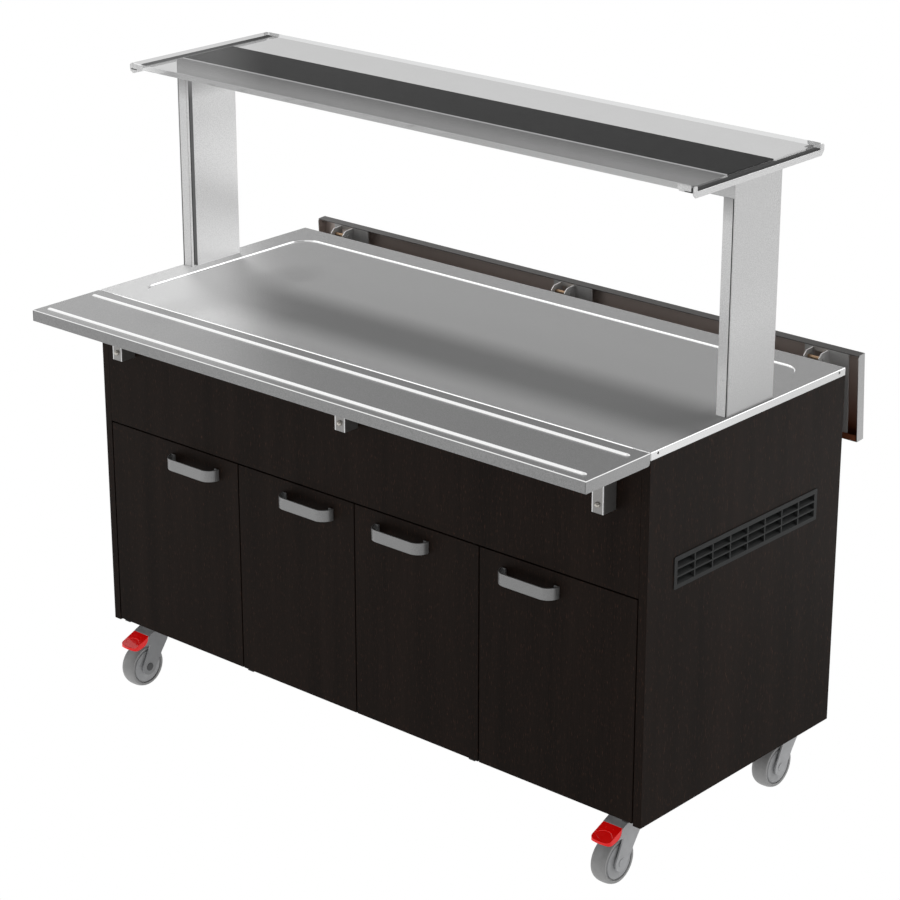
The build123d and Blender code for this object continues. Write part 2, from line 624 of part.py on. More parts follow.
def brake_pedal(x, y):
    """Foot pedal: a scooped tread with a bowed front and a dished toe, on a tongue round the fork's pin."""
    pin_y, pin_z = PEDAL_PIVOT
    back = about_pin(PEDAL_R, 138.4)
    toe = (-83.0, 108.6)
    tread = make_face(
        [
            Line(back, toe),
            ThreePointArc(toe, (-86.6, 106.2), (-86, 103)),
            ThreePointArc((-86, 103), (-72, 101.2), (-57.7, 104.1)),
            ThreePointArc((-57.7, 104.1), (-46.9, 109.8), about_pin(PEDAL_R, 165)),
            ThreePointArc(about_pin(PEDAL_R, 165), about_pin(PEDAL_R, 150), back),
        ]
    )
    half = PEDAL_W / 2
    plan = make_face(
        [
            Polyline((-half, -80), (-half, -36), (half, -36), (half, -80)),
            ThreePointArc((half, -80), (0, -86), (-half, -80)),
        ]
    )
    plan = fillet(plan.vertices().group_by(Axis.Y)[0], PEDAL_CORNER)
    body = along_x(tread, -half, half) & up(plan, 90, 140)
    slope = math.degrees(math.atan2(back[1] - toe[1], back[0] - toe[0]))
    middle = (0, (back[0] + toe[0]) / 2, (back[1] + toe[1]) / 2)
    top = Plane(middle, x_dir=(1, 0, 0), z_dir=Vector(0, 0, 1).rotate(Axis.X, slope))
    rim = body.faces().filter_by(Axis.X).edges().group_by(Axis.Z)[-1]
    body = fillet(rim, PEDAL_EDGE)
    lens = [ThreePointArc((-21, -8), (0, 5), (21, -8)), ThreePointArc((21, -8), (0, -18), (-21, -8))]
    dish = make_face(lens)
    body -= top * extrude(dish, amount=-1.0, taper=30)
    for side in (-1, 1):
        body -= top * Pos(side * 9, 12, 0) * Cylinder(1.5, 1.6)
    tongue = Circle(4.5) + Pos(-8, -2.6) * Rot(Z=20) * Rectangle(18, 6)
    tongue = Pos(pin_y, pin_z) * (tongue - Circle(PIN_D / 2 + RUN_FIT))
    body += along_x(tongue, -15, 15)
    return Pos(x, y, 0) * body


def wheel_hub(x, y):
    """Wheel centre: a bored boss, a flat face and a rim that the tyre is moulded on."""
    bore = AXLE_D / 2 + RUN_FIT
    half = [(bore, 21), (14, 21), (15.5, 18.2), (36.4, 17.8), (HUB_R, 16)]
    profile = make_face(Polyline(*half, *[(r, -w) for r, w in reversed(half)], half[0]))
    hub = revolve(Plane.XZ * profile, axis=Axis.Z)
    return Pos(x, y - CASTER_TRAIL, WHEEL_R) * Rot(Y=90) * hub


def tyre(x, y):
    """Grey rubber tyre: a groove round the hub, flat sides and a crowned tread."""
    half = WHEEL_W / 2
    side = (HUB_R + 9.3, half - 2.2)
    crown = (WHEEL_R - 0.5, half - 9)
    flat = (WHEEL_R, half - 14)
    wall = [(HUB_R, half - 4), (HUB_R + 2.4, half - 3.6), (HUB_R + 2.6, half - 0.6), (HUB_R + 3.2, half)]
    wall += [(HUB_R + 7.8, half), side]
    profile = make_face(
        [
            Polyline(*wall),
            ThreePointArc(side, crown, flat),
            Line(flat, (flat[0], -flat[1])),
            ThreePointArc((flat[0], -flat[1]), (crown[0], -crown[1]), (side[0], -side[1])),
            Polyline(*[(r, -w) for r, w in reversed(wall)], wall[0]),
        ]
    )
    ring = revolve(Plane.XZ * profile, axis=Axis.Z)
    return Pos(x, y - CASTER_TRAIL, WHEEL_R) * Rot(Y=90) * ring


def control_cup():
    """Recess in the left end, welded up from a back plate and four walls with flanges on the panel's face."""
    low, high = CUP_Z[0] + CUP_SHEET, CUP_Z[1] - CUP_SHEET
    side = CUP_Y - CUP_SHEET
    back = -HALF_L + CUP_DEPTH
    depth = (-HALF_L, back - CUP_SHEET)
    skin = (-HALF_L - CUP_SHEET, -HALF_L)
    brim = CUP_Y + CUP_FLANGE
    plate = block((back - CUP_SHEET, back), (-CUP_Y, CUP_Y), CUP_Z)
    plate -= rod(5.2, (back - 3, *KNOB_AT), (back + 3, *KNOB_AT))
    plate -= Pos(back, *SWITCH_AT) * Box(8, 30.4, 22.4)
    plate -= Pos(back, *INLET_AT) * Box(8, 32.4, 24.4)
    flange = block(skin, (-brim, brim), (high, CUP_Z[1] + CUP_FLANGE))
    flange = fillet(flange.edges().filter_by(Axis.X).group_by(Axis.Z)[-1], CUP_CORNER)
    upper = flange + block(depth, (-CUP_Y, CUP_Y), (high, CUP_Z[1]))
    end = block(skin, (side, brim), (low, high)) + block(depth, (side, CUP_Y), (low, high))
    middle = Plane.XY.offset((low + high) / 2)
    return [plate, upper, mirror(upper, about=middle), end, mirror(end, about=Plane.XZ)]


def thermostat():
    """Thermostat behind the recess: body, neck and the shaft for its knob."""
    back = -HALF_L + CUP_DEPTH
    y, z = KNOB_AT
    body = soft(block((back, back + 28), (y - 22, y + 22), (z - 20, z + 20)), 4.0, Axis.X)
    body += rod(5, (back, y, z), (back - CUP_SHEET, y, z))
    return body + rod(3, (back - CUP_SHEET, y, z), (back - 17, y, z))


def thermostat_knob():
    """Dial with a skirt and a raised grip bar."""
    face = -HALF_L + CUP_DEPTH - CUP_SHEET
    y, z = KNOB_AT
    bore = 3 + RUN_FIT
    profile = make_face(
        Polyline((bore, 0.6), (22, 0.6), (22, 3.2), (20, 4.4), (19.4, 6), (bore, 6), (bore, 0.6))
    )
    dial = revolve(Plane.XZ * profile, axis=Axis.Z)
    grip = up(SlotOverall(36, 12), 6, 20)
    grip = fillet(grip.faces().sort_by(Axis.Z)[-1].edges(), 2.0)
    grip -= rod(bore, (0, 0, 6), (0, 0, 16.5))
    return Pos(face, y, z) * Rot(Y=-90) * (dial + grip)


def switch_housing():
    """Rocker switch body with its bezel."""
    face = -HALF_L + CUP_DEPTH - CUP_SHEET
    y, z = SWITCH_AT
    bezel = soft(block((face - 2.5, face), (y - 18, y + 18), (z - 14, z + 14)), 2.0, Axis.X)
    body = block((face, face + 24), (y - 15, y + 15), (z - 11, z + 11))
    hollow = block((face - 4, face + 14), (y - 13, y + 13), (z - 9, z + 9))
    housing = bezel + body - hollow
    for side in (-1, 1):
        housing += rod(1.5, (face + 3, y, z + side * 9.5), (face + 3, y, z + side * 8))
    return housing


def power_rocker():
    """Rocker, tipped to its off side."""
    face = -HALF_L + CUP_DEPTH - CUP_SHEET
    y, z = SWITCH_AT
    profile = make_face(
        [
            Polyline((3, -12.2), (-2.5, -12.2), (-5, -11.6)),
            ThreePointArc((-5, -11.6), (-3.4, 0), (-5, 11.6)),
            Polyline((-5, 11.6), (-2.5, 12.2), (3, 12.2), (6, 4), (6, -4), (3, -12.2)),
        ]
    )
    body = up(profile, -8.6, 8.6)
    for side in (-1, 1):
        body -= rod(1.5 + RUN_FIT, (0, 0, side * 7.9), (0, 0, side * 9))
    return Pos(face + 3, y, z) * Rot(Z=9) * body


def mains_inlet():
    """Appliance inlet with its three pins; no lead is fitted."""
    face = -HALF_L + CUP_DEPTH - CUP_SHEET
    y, z = INLET_AT
    flange = soft(block((face - 2.5, face), (y - 25, y + 25), (z - 15, z + 15)), 5.0, Axis.X)
    body = block((face, face + 30), (y - 16, y + 16), (z - 12, z + 12))
    well = Pos(0, y, z) * along_x(RectangleRounded(24.5, 17, 3), face - 3, face + 17)
    inlet = flange + body - well
    for dy, dz in ((-7, -2), (0, 2), (7, -2)):
        inlet += block((face + 2, face + 18), (y + dy - 1, y + dy + 1), (z + dz - 2, z + dz + 2))
    return inlet


def shelves():
    """One removable shelf for each bay."""
    inner = PARTITION_X - BOARD_T / 2 - 0.5
    outer = PARTITION_X + BOARD_T / 2 + 0.5
    depth = (-270, FACE_IN - 0.5)
    height = (SHELF_Z, SHELF_Z + 16)
    spans = ((0.5 - END_IN, -outer), (-inner, inner), (outer, END_IN - 0.5))
    return [block(span, depth, height) for span in spans]


def shelf_pins():
    """Pins that carry the shelves, let into the boards at both sides of each bay."""
    inner = PARTITION_X - BOARD_T / 2
    outer = PARTITION_X + BOARD_T / 2
    z = SHELF_Z - 2.5
    pins = []
    for y in SHELF_PIN_Y:
        for x, way in ((-END_IN, 1), (-outer, -1), (-inner, 1), (inner, -1), (outer, 1), (END_IN, -1)):
            pins.append(rod(2.5, (x - 8 * way, y, z), (x + 9 * way, y, z)))
    return pins


def partitions():
    """Two uprights between the bays, bored for the shelf pins."""
    z = SHELF_Z - 2.5
    boards = []
    for x in (-PARTITION_X, PARTITION_X):
        faces = (x - BOARD_T / 2, x + BOARD_T / 2)
        board = block(faces, (-FRAME_Y, FACE_IN), (FLOOR_Z + BOARD_T, DECK_Z))
        for y in SHELF_PIN_Y:
            board -= rod(2.5, (faces[0], y, z), (faces[0] + 8, y, z))
            board -= rod(2.5, (faces[1] - 8, y, z), (faces[1], y, z))
        boards.append(board)
    return boards


SHELF_PIN_Y = (-200.0, 240.0)
HALF_GAP = DOOR_GAP / 2
EDGE = END_IN - DOOR_GAP
DOORS = [
    {"x": (-EDGE, -PARTITION_X - HALF_GAP), "pivot": -EDGE + PIVOT_IN},
    {"x": (-PARTITION_X + HALF_GAP, -HALF_GAP), "pivot": -PARTITION_X + HALF_GAP + PIVOT_IN},
    {"x": (HALF_GAP, PARTITION_X - HALF_GAP), "pivot": PARTITION_X - HALF_GAP - PIVOT_IN},
    {"x": (PARTITION_X + HALF_GAP, EDGE), "pivot": EDGE - PIVOT_IN},
]
for index, spec in enumerate(DOORS):
    free = spec["x"][1] if index < 2 else spec["x"][0]
    inward = -1 if index < 2 else 1
    spec["handle"] = free + inward * (HANDLE_EDGE + HANDLE_L / 2)

right_panel = side_panel()
left_panel = mirror(right_panel, about=Plane.YZ)
cup_hole = (CUP_Z[0] - CUP_CLEAR, CUP_Z[1] + CUP_CLEAR)
left_panel -= block((-HALF_L, -END_IN), (-CUP_Y - CUP_CLEAR, CUP_Y + CUP_CLEAR), cup_hole)
post = gantry_post()
front_slide = tray_slide()
front_hinges = [slide_hinge(x) for x in HINGE_X]

nodes = {
    "side_panel_left": left_panel,
    "side_panel_right": right_panel,
    "back_panel": block((0.6 - END_IN, END_IN - 0.6), (FACE_IN, HALF_D), (CABINET_Z, PANEL_TOP)),
    "fascia_panel": fascia_panel(),
    "deck_panel": block((-END_IN, END_IN), (-FACE_IN, FACE_IN), (DECK_Z, DECK_Z + BOARD_T)),
    "floor_panel": block((-END_IN, END_IN), (-FRAME_Y, FACE_IN), (FLOOR_Z, FLOOR_Z + BOARD_T)),
    "partitions": partitions(),
    "shelves": shelves(),
    "shelf_pins": shelf_pins(),
    "base_frame": base_frame(),
    "worktop": worktop(),
    "heater_mat": heater_mat(),
    "insulation_board": insulation_board(),
    "vent_grilles": left_right(vent_grille()),
    "gantry_post_left": mirror(post, about=Plane.YZ),
    "gantry_post_right": post,
    "post_covers": left_right(post_cover()),
    "lamp_housing": lamp_housing(),
    "housing_lid": block((-LID_X, LID_X), (-LID_Y, LID_Y), (HOUSING_Z[1], GLASS_Z[0])),
    "lamp_reflector": lamp_reflector(),
    "heat_lamps": heat_lamps(),
    "lamp_holders": lamp_holders(),
    "glass_shelf": glass_shelf(),
    "glass_rails": left_right(glass_rail()),
    "slide_brackets": slide_brackets(),
    "hinge_fasteners": hinge_fasteners(),
    "door_pivot_plates": door_pivot_plates(),
    "caster_stems": [caster_stem(x, y) for x, y in caster_places()],
    "control_cup": control_cup(),
    "thermostat": thermostat(),
    "thermostat_knob": thermostat_knob(),
    "switch_housing": switch_housing(),
    "power_rocker": power_rocker(),
    "mains_inlet": mains_inlet(),
    "tray_slide_front": front_slide,
    "slide_hinges_front": front_hinges,
    "tray_slide_rear": folded_back(front_slide),
    "slide_hinges_rear": [folded_back(hinge) for hinge in front_hinges],
}
for number, spec in enumerate(DOORS, start=1):
    nodes[f"door_{number}"] = door(spec)
    nodes[f"handle_{number}"] = handle(spec)
CORNERS = ("front_left", "front_right", "rear_left", "rear_right")
for name, (x, y) in zip(CORNERS, caster_places()):
    nodes[f"fork_{name}"] = caster_fork(x, y)
    nodes[f"hub_{name}"] = wheel_hub(x, y)
    nodes[f"tyre_{name}"] = tyre(x, y)
    if y < 0:
        nodes[f"brake_pedal_{name}"] = brake_pedal(x, y)

# The origin is on the floor under the middle of the trolley's outline.
front_y = -HALF_D - OUTWARD
back_y = max(solid.bounding_box().max.Y for solid in nodes["tray_slide_rear"].solids())
SHIFT = Pos(0, -(front_y + back_y) / 2, 0)
print(f"outline in Y before the shift: {front_y:.3f} to {back_y:.3f}, shift {-(front_y + back_y) / 2:.4f}")

os.makedirs("parts", exist_ok=True)
for name, body in nodes.items():
    pieces = body if isinstance(body, list) else [body]
    solids = [solid for piece in pieces for solid in piece.solids()]
    placed = [SHIFT * solid for solid in solids]
    export_step(placed[0] if len(placed) == 1 else Compound(children=placed), f"parts/{name}.step")
print(f"{len(nodes)} nodes written")
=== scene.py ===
# %% [markdown]
# # Dressing a heated buffet trolley
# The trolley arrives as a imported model: sixty solid pieces at their real size, sorted into bodies that
# swing, fold and roll. Nothing below moves or resizes them. This lesson sets up a small studio, gives
# every piece its finish from shader nodes, and adds the wire coils in the lamps, which are easier to work
# out as surfaces. Lengths are in metres, with Z up from the floor.

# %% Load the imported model
import math

import bpy
import numpy as np
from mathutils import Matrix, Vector


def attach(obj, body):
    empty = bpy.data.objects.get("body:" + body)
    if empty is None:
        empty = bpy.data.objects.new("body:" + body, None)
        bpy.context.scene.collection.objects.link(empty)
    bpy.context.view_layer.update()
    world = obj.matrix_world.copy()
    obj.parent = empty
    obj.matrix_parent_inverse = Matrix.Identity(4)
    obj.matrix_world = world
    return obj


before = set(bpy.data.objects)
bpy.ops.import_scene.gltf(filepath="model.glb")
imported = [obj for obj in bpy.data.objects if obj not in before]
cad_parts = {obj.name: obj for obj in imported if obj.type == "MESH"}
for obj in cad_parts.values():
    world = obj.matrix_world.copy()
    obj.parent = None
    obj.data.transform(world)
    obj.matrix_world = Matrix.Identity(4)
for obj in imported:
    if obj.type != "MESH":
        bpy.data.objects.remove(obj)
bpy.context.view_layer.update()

scene = bpy.context.scene

# %% [markdown]
# ## The camera
# A catalogue picture of furniture is taken with a long lens from well back, so that upright edges stay
# nearly parallel. The camera stands to the front right, above the glass shelf, and looks down a little.
# Its direction is worked out from an azimuth and an elevation, which are easier to read than a rotation.

# %% Camera
AZIMUTH = math.radians(41.37)
ELEVATION = math.radians(20.89)
EYE = Vector((3.6603, -4.1246, 2.7797))
LENS_MM = 110.7
SENSOR_MM = 36.0

ahead = Vector(
    (
        -math.sin(AZIMUTH) * math.cos(ELEVATION),
        math.cos(AZIMUTH) * math.cos(ELEVATION),
        -math.sin(ELEVATION),
    )
)
lens = bpy.data.cameras.new("studio_camera")
lens.lens = LENS_MM
lens.sensor_width = SENSOR_MM
camera = bpy.data.objects.new("studio_camera", lens)
camera.location = EYE
camera.rotation_euler = ahead.to_track_quat("-Z", "Y").to_euler()
scene.collection.objects.link(camera)
scene.camera = camera
print(f"camera {EYE.length:.2f} m away, looking along {tuple(round(c, 3) for c in ahead)}")

# %% [markdown]
# ## Working with shader nodes
# Every finish below is a small tree of nodes. Adding a node, setting its unlinked inputs and joining two
# sockets are the same steps each time, so they become short helpers. Colours are written as they are read
# off a screen, from 0 to 255, and turned into the linear values that a renderer works with.

# %% Node helpers
WHITE = (1.0, 1.0, 1.0, 1.0)
BLACK = (0.0, 0.0, 0.0, 1.0)


def shade(red, green, blue):
    """A screen colour as linear red, green, blue and alpha."""
    screen = np.array((red, green, blue)) / 255.0
    linear = np.where(screen <= 0.04045, screen / 12.92, ((screen + 0.055) / 1.055) ** 2.4)
    return (*linear.tolist(), 1.0)


def grey(level):
    """A neutral screen colour."""
    return shade(level, level, level)


def node(tree, kind, settings=None, **values):
    """A new node; settings are its own switches, values are its inputs, with _ for a space."""
    made = tree.nodes.new(kind)
    for name, value in (settings or {}).items():
        setattr(made, name, value)
    for name, value in values.items():
        made.inputs[name.replace("_", " ")].default_value = value
    return made


def feed(tree, value, socket):
    """Joins another node's output to a socket, or sets the socket if value is a plain number."""
    if isinstance(value, bpy.types.NodeSocket):
        tree.links.new(value, socket)
    else:
        socket.default_value = value


print("a mid grey of 128 on screen is", round(grey(128)[0], 3), "in linear light")

# %% [markdown]
# Patterns are numbers that change over a surface. Five more helpers do the sums with them: a sum of two
# numbers, one of two vectors, a stretch to another range, a weighted mean, and a mix of two colours.

# %% Sums with patterns
def calc(tree, operation, first, second=0.0):
    """One sum of two numbers or outputs."""
    made = node(tree, "ShaderNodeMath", {"operation": operation})
    feed(tree, first, made.inputs[0])
    feed(tree, second, made.inputs[1])
    return made.outputs[0]


def vector_calc(tree, operation, first, second):
    """One sum of two vectors; a distance or a dot product comes back as a number."""
    made = node(tree, "ShaderNodeVectorMath", {"operation": operation})
    feed(tree, first, made.inputs[0])
    feed(tree, second, made.inputs[1])
    return made.outputs["Value" if operation in ("DISTANCE", "DOT_PRODUCT") else "Vector"]


def spread(tree, value, low, high, start=0.0, end=1.0, smooth=False):
    """Stretches an output from start..end to low..high, and holds it there outside."""
    kind = "SMOOTHSTEP" if smooth else "LINEAR"
    made = node(tree, "ShaderNodeMapRange", {"interpolation_type": kind})
    for socket, number in zip(made.inputs[1:5], (start, end, low, high)):
        socket.default_value = number
    feed(tree, value, made.inputs[0])
    return made.outputs[0]


def blend(tree, first, share, second):
    """A share of one number and the rest of another."""
    rest = calc(tree, "MULTIPLY", second, 1.0 - share)
    return calc(tree, "ADD", calc(tree, "MULTIPLY", first, share), rest)


def mix(tree, factor, first, second):
    """Mixes two colours, each an output or a plain colour."""
    made = node(tree, "ShaderNodeMix", {"data_type": "RGBA"})
    feed(tree, factor, made.inputs[0])
    feed(tree, first, made.inputs[6])
    feed(tree, second, made.inputs[7])
    return made.outputs[2]


print("helpers for sums ready")

# %% [markdown]
# ## The studio
# Brushed steel shows the room more than itself, so the room matters most. The backdrop is plain white to
# the camera. To every other ray it is a soft studio: a pale floor that is dimmer near the trolley, grey
# walls with a softbox and a few glows on them, and one large lamp high at the back left. The colours are
# shown as they are, with no film curve.

# %% Grey walls
WALL, CEILING = 0.205, 0.25
CEILING_FROM, CEILING_FULL = 0.35, 0.85

scene.view_settings.view_transform = "Standard"
world = bpy.data.worlds.new("studio")
scene.world = world
world.use_nodes = True
sky = world.node_tree
sky.nodes.clear()
direction = node(sky, "ShaderNodeTexCoord").outputs["Generated"]
height = node(sky, "ShaderNodeSeparateXYZ")
feed(sky, direction, height.inputs[0])
light = spread(sky, height.outputs["Z"], WALL, CEILING, CEILING_FROM, CEILING_FULL, smooth=True)
print("studio walls", WALL, "and ceiling", CEILING)

# %% [markdown]
# The softbox stands at the back left, where the worktop mirrors it to the camera, and its right edge draws
# the line between the bright and the darker half of the top. The glows are what the uprights' faces mirror.

# %% Softbox and glows
SOFTBOX = {"left": 152.0, "right": 135.8, "low": 6.0, "high": 36.0, "amount": 0.71}
SOFTBOX_EDGE = 0.5
GLOWS = (
    {"towards": (0.62, 0.70, 0.25), "reach": 40.0, "amount": 0.9},
    {"towards": (0.24, 0.70, 0.675), "reach": 24.0, "amount": 2.6},
    {"towards": (-0.54, -0.77, 0.32), "reach": 22.0, "amount": 1.5},
)


def glow(towards, reach, amount):
    """A soft patch of light round one direction: brightest there, fading to nothing at reach degrees."""
    dot = vector_calc(sky, "DOT_PRODUCT", direction, Vector(towards).normalized())
    return spread(sky, dot, 0.0, amount, math.cos(math.radians(reach)), 1.0, smooth=True)


def softbox(left, right, low, high, amount):
    """A flat panel of light between two azimuths and two elevations in degrees, with soft edges."""
    flat = calc(sky, "ARCTAN2", height.outputs["Y"], height.outputs["X"])
    tall = calc(sky, "ARCSINE", height.outputs["Z"])
    level = amount
    sides = ((flat, right, 0.0, 1.0), (flat, left, 1.0, 0.0), (tall, low, 0.0, 1.0), (tall, high, 1.0, 0.0))
    for value, edge, before, after in sides:
        start, end = math.radians(edge - SOFTBOX_EDGE), math.radians(edge + SOFTBOX_EDGE)
        level = calc(sky, "MULTIPLY", spread(sky, value, before, after, start, end), level)
    return level


light = calc(sky, "ADD", light, softbox(**SOFTBOX))
for patch in GLOWS:
    light = calc(sky, "ADD", light, glow(**patch))
print(f"one softbox and {len(GLOWS)} glows")

# %% [markdown]
# A Light Path node tells what the camera sees, straight or through glass, from light that has bounced. It
# chooses between the white backdrop and the studio.

# %% White backdrop
def in_view(tree):
    """1 for rays that reach the camera straight or through glass, 0 for light that has bounced."""
    path = node(tree, "ShaderNodeLightPath").outputs
    bounces = calc(tree, "ADD", path["Diffuse Depth"], path["Glossy Depth"])
    through = calc(tree, "MULTIPLY", path["Is Transmission Ray"], calc(tree, "LESS_THAN", bounces, 0.5))
    return calc(tree, "MAXIMUM", path["Is Camera Ray"], through)


def choose(tree, factor, first, second):
    """One of two shaders, by a factor of 0 or 1."""
    made = node(tree, "ShaderNodeMixShader")
    for value, socket in zip((factor, first, second), made.inputs):
        feed(tree, value, socket)
    return made.outputs[0]


studio = node(sky, "ShaderNodeBackground")
feed(sky, light, studio.inputs["Strength"])
backdrop = node(sky, "ShaderNodeBackground", Color=WHITE, Strength=1.0)
shown = choose(sky, in_view(sky), studio.outputs[0], backdrop.outputs[0])
feed(sky, shown, node(sky, "ShaderNodeOutputWorld").inputs["Surface"])
print("white to the camera, grey to every other ray")

# %% [markdown]
# The floor works in the same way. To the camera it is white, and to bounced light it is a pale disc, dimmer
# under the trolley and with two bright pools at the back, which the end panel and the uprights mirror.

# %% Pale floor
FLOOR_R, FLOOR_SIDES = 14.0, 96
DIM_AT, DIM_R, DIM = (0.8, 0.3, 0.0), 1.2, 0.65
EVEN_R, EVEN = 3.4, 1.03
POOLS = (((1.0, 2.3, 0.0), 1.7, 1.0), ((2.3, 1.5, 0.0), 1.0, 0.6))

angle = np.linspace(0.0, 2.0 * np.pi, FLOOR_SIDES + 1)[:-1]
rim = np.column_stack((FLOOR_R * np.cos(angle), FLOOR_R * np.sin(angle), np.zeros_like(angle)))
floor_mesh = bpy.data.meshes.new("floor")
floor_mesh.from_pydata(rim.tolist(), [], [list(range(len(rim)))])
floor = bpy.data.objects.new("floor", floor_mesh)
scene.collection.objects.link(floor)

paint = bpy.data.materials.new("floor_paint")
paint.use_nodes = True
tree = paint.node_tree
tree.nodes.clear()
place = node(tree, "ShaderNodeNewGeometry").outputs["Position"]
level = spread(tree, vector_calc(tree, "DISTANCE", place, DIM_AT), DIM, EVEN, DIM_R, EVEN_R, smooth=True)
for pool_at, pool_r, pool in POOLS:
    away = vector_calc(tree, "DISTANCE", place, pool_at)
    level = calc(tree, "ADD", level, spread(tree, away, pool, 0.0, 0.0, pool_r, smooth=True))
bounce = node(tree, "ShaderNodeEmission")
feed(tree, level, bounce.inputs["Strength"])
plain = node(tree, "ShaderNodeEmission", Strength=1.0)
shown = choose(tree, in_view(tree), bounce.outputs[0], plain.outputs[0])
feed(tree, shown, node(tree, "ShaderNodeOutputMaterial").inputs["Surface"])
floor_mesh.materials.append(paint)
print(f"floor of {FLOOR_R:.0f} m radius")

# %% [markdown]
# The lamp at the back left throws the lamp housing's soft shadow on the worktop. Mirror rays don't see it,
# or it would leave a hard white spot in the steel.

# %% Key lamp
KEY_AIM = Vector((0.0, 0.05, 0.94))
KEY_WAY = Vector((-0.46, 0.24, 0.855)).normalized()
KEY_FAR = 8.0
KEY_SIZE = 1.5
KEY_WATTS = 830.0

lamp = bpy.data.lights.new("key_lamp", "AREA")
lamp.shape = "DISK"
lamp.size = KEY_SIZE
lamp.energy = KEY_WATTS
key = bpy.data.objects.new("key_lamp", lamp)
key.location = KEY_AIM + KEY_FAR * KEY_WAY
key.rotation_euler = (-KEY_WAY).to_track_quat("-Z", "Y").to_euler()
key.visible_camera = False
key.visible_glossy = False
key.visible_transmission = False
scene.collection.objects.link(key)
print(f"key lamp at {tuple(round(c, 2) for c in key.location)}")

# %% [markdown]
# Steel also mirrors what hangs above it. A wide, faint card of light stands in for a ceiling panel over the
# left half of the studio. Only mirror rays see it, so it lifts the sheen of faces that look up, and leaves
# the soft shadow as it is.

# %% Reflection card
CARD_TILT = math.radians(10.0)
CARD_FAR = 4.7
CARD_X = -6.0
CARD_W, CARD_L = 8.0, 11.2
CARD_LIGHT = 0.9

card_lamp = bpy.data.lights.new("reflection_card", "AREA")
card_lamp.shape = "RECTANGLE"
card_lamp.size, card_lamp.size_y = CARD_W, CARD_L
card_lamp.energy = CARD_LIGHT * math.pi * CARD_W * CARD_L
card = bpy.data.objects.new("reflection_card", card_lamp)
card.location = KEY_AIM + Vector((CARD_X, -CARD_FAR * math.sin(CARD_TILT), CARD_FAR * math.cos(CARD_TILT)))
card.rotation_euler = (CARD_TILT, 0.0, 0.0)
card.visible_camera = False
card.visible_diffuse = False
card.visible_transmission = False
scene.collection.objects.link(card)
print(f"reflection card of {CARD_W} by {CARD_L} m")

# %% [markdown]
# A real satin sheet scatters light so widely that the uprights leave no image in it, only a shadow. A
# renderer would show them as dark streaks, so the gantry is hidden from mirror rays and keeps its shadow.

# %% No mirror image of the gantry
GANTRY = (
    "gantry_post_left",
    "gantry_post_right",
    "post_covers",
    "lamp_housing",
    "housing_lid",
    "lamp_reflector",
    "heat_lamps",
    "lamp_holders",
    "glass_shelf",
    "glass_rails",
)
for name in GANTRY:
    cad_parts[name].visible_glossy = False
print("the gantry casts shadows but is not mirrored")

# %% [markdown]
# ## Shared effects
# Steel, plastic, rubber and board all need fine variation, or they look like painted blocks. Each effect
# is built once as a node group: grain for rolled steel, a skin for moulded parts, a figure for the
# wood-look board, and a mask that picks out a place. They read a position in metres, so a scale of 1000
# means details a millimetre apart.

# %% A starter for node groups
def start_group(name, inputs, outputs):
    """An empty shader group with named sockets; returns the tree and its two end nodes."""
    tree = bpy.data.node_groups.new(name, "ShaderNodeTree")
    for label, kind, value in inputs:
        socket = tree.interface.new_socket(label, in_out="INPUT", socket_type=kind)
        if value is not None:
            socket.default_value = value
    for label, kind in outputs:
        tree.interface.new_socket(label, in_out="OUTPUT", socket_type=kind)
    return tree, tree.nodes.new("NodeGroupInput"), tree.nodes.new("NodeGroupOutput")


def noise(tree, position, scale, detail=2.0, roughness=0.5):
    """Smooth random values between 0 and 1, about 1 / scale metres across."""
    made = node(tree, "ShaderNodeTexNoise", Scale=scale, Detail=detail, Roughness=roughness)
    feed(tree, position, made.inputs["Vector"])
    return made.outputs[0]


print("group helpers ready")

# %% [markdown]
# A satin sheet is rubbed with an abrasive belt, which leaves fine strokes one way. A picture of real grain
# would show its seams on large parts, so the strokes are noise that is squeezed across the belt's way. Finer
# specks and wide clouds keep the sheet from looking even.

# %% Grain of satin steel
SPECKS, CLOUDS = 480.0, 7.0

satin_grain, given, wanted = start_group(
    "satin_grain",
    [("Position", "NodeSocketVector", None), ("Stretch", "NodeSocketVector", (60.0, 2400.0, 2400.0))],
    [("Stroke", "NodeSocketFloat"), ("Speck", "NodeSocketFloat"), ("Cloud", "NodeSocketFloat")],
)
position = given.outputs["Position"]
lines = vector_calc(satin_grain, "MULTIPLY", position, given.outputs["Stretch"])
feed(satin_grain, noise(satin_grain, lines, 1.0, 3.0, 0.65), wanted.inputs["Stroke"])
feed(satin_grain, noise(satin_grain, position, SPECKS, 1.0), wanted.inputs["Speck"])
feed(satin_grain, noise(satin_grain, position, CLOUDS, 2.0), wanted.inputs["Cloud"])
print("satin grain: strokes, specks of 2 mm and clouds of 140 mm")

# %% [markdown]
# Plastic and rubber copy the mould, which is often eroded to a fine matt grain, and a powder coat dries to
# much the same skin. Rounded cells give the dimples, and a soft noise gives the uneven tone.

# %% Skin of moulded parts
DIMPLES, MOTTLES = 1400.0, 60.0

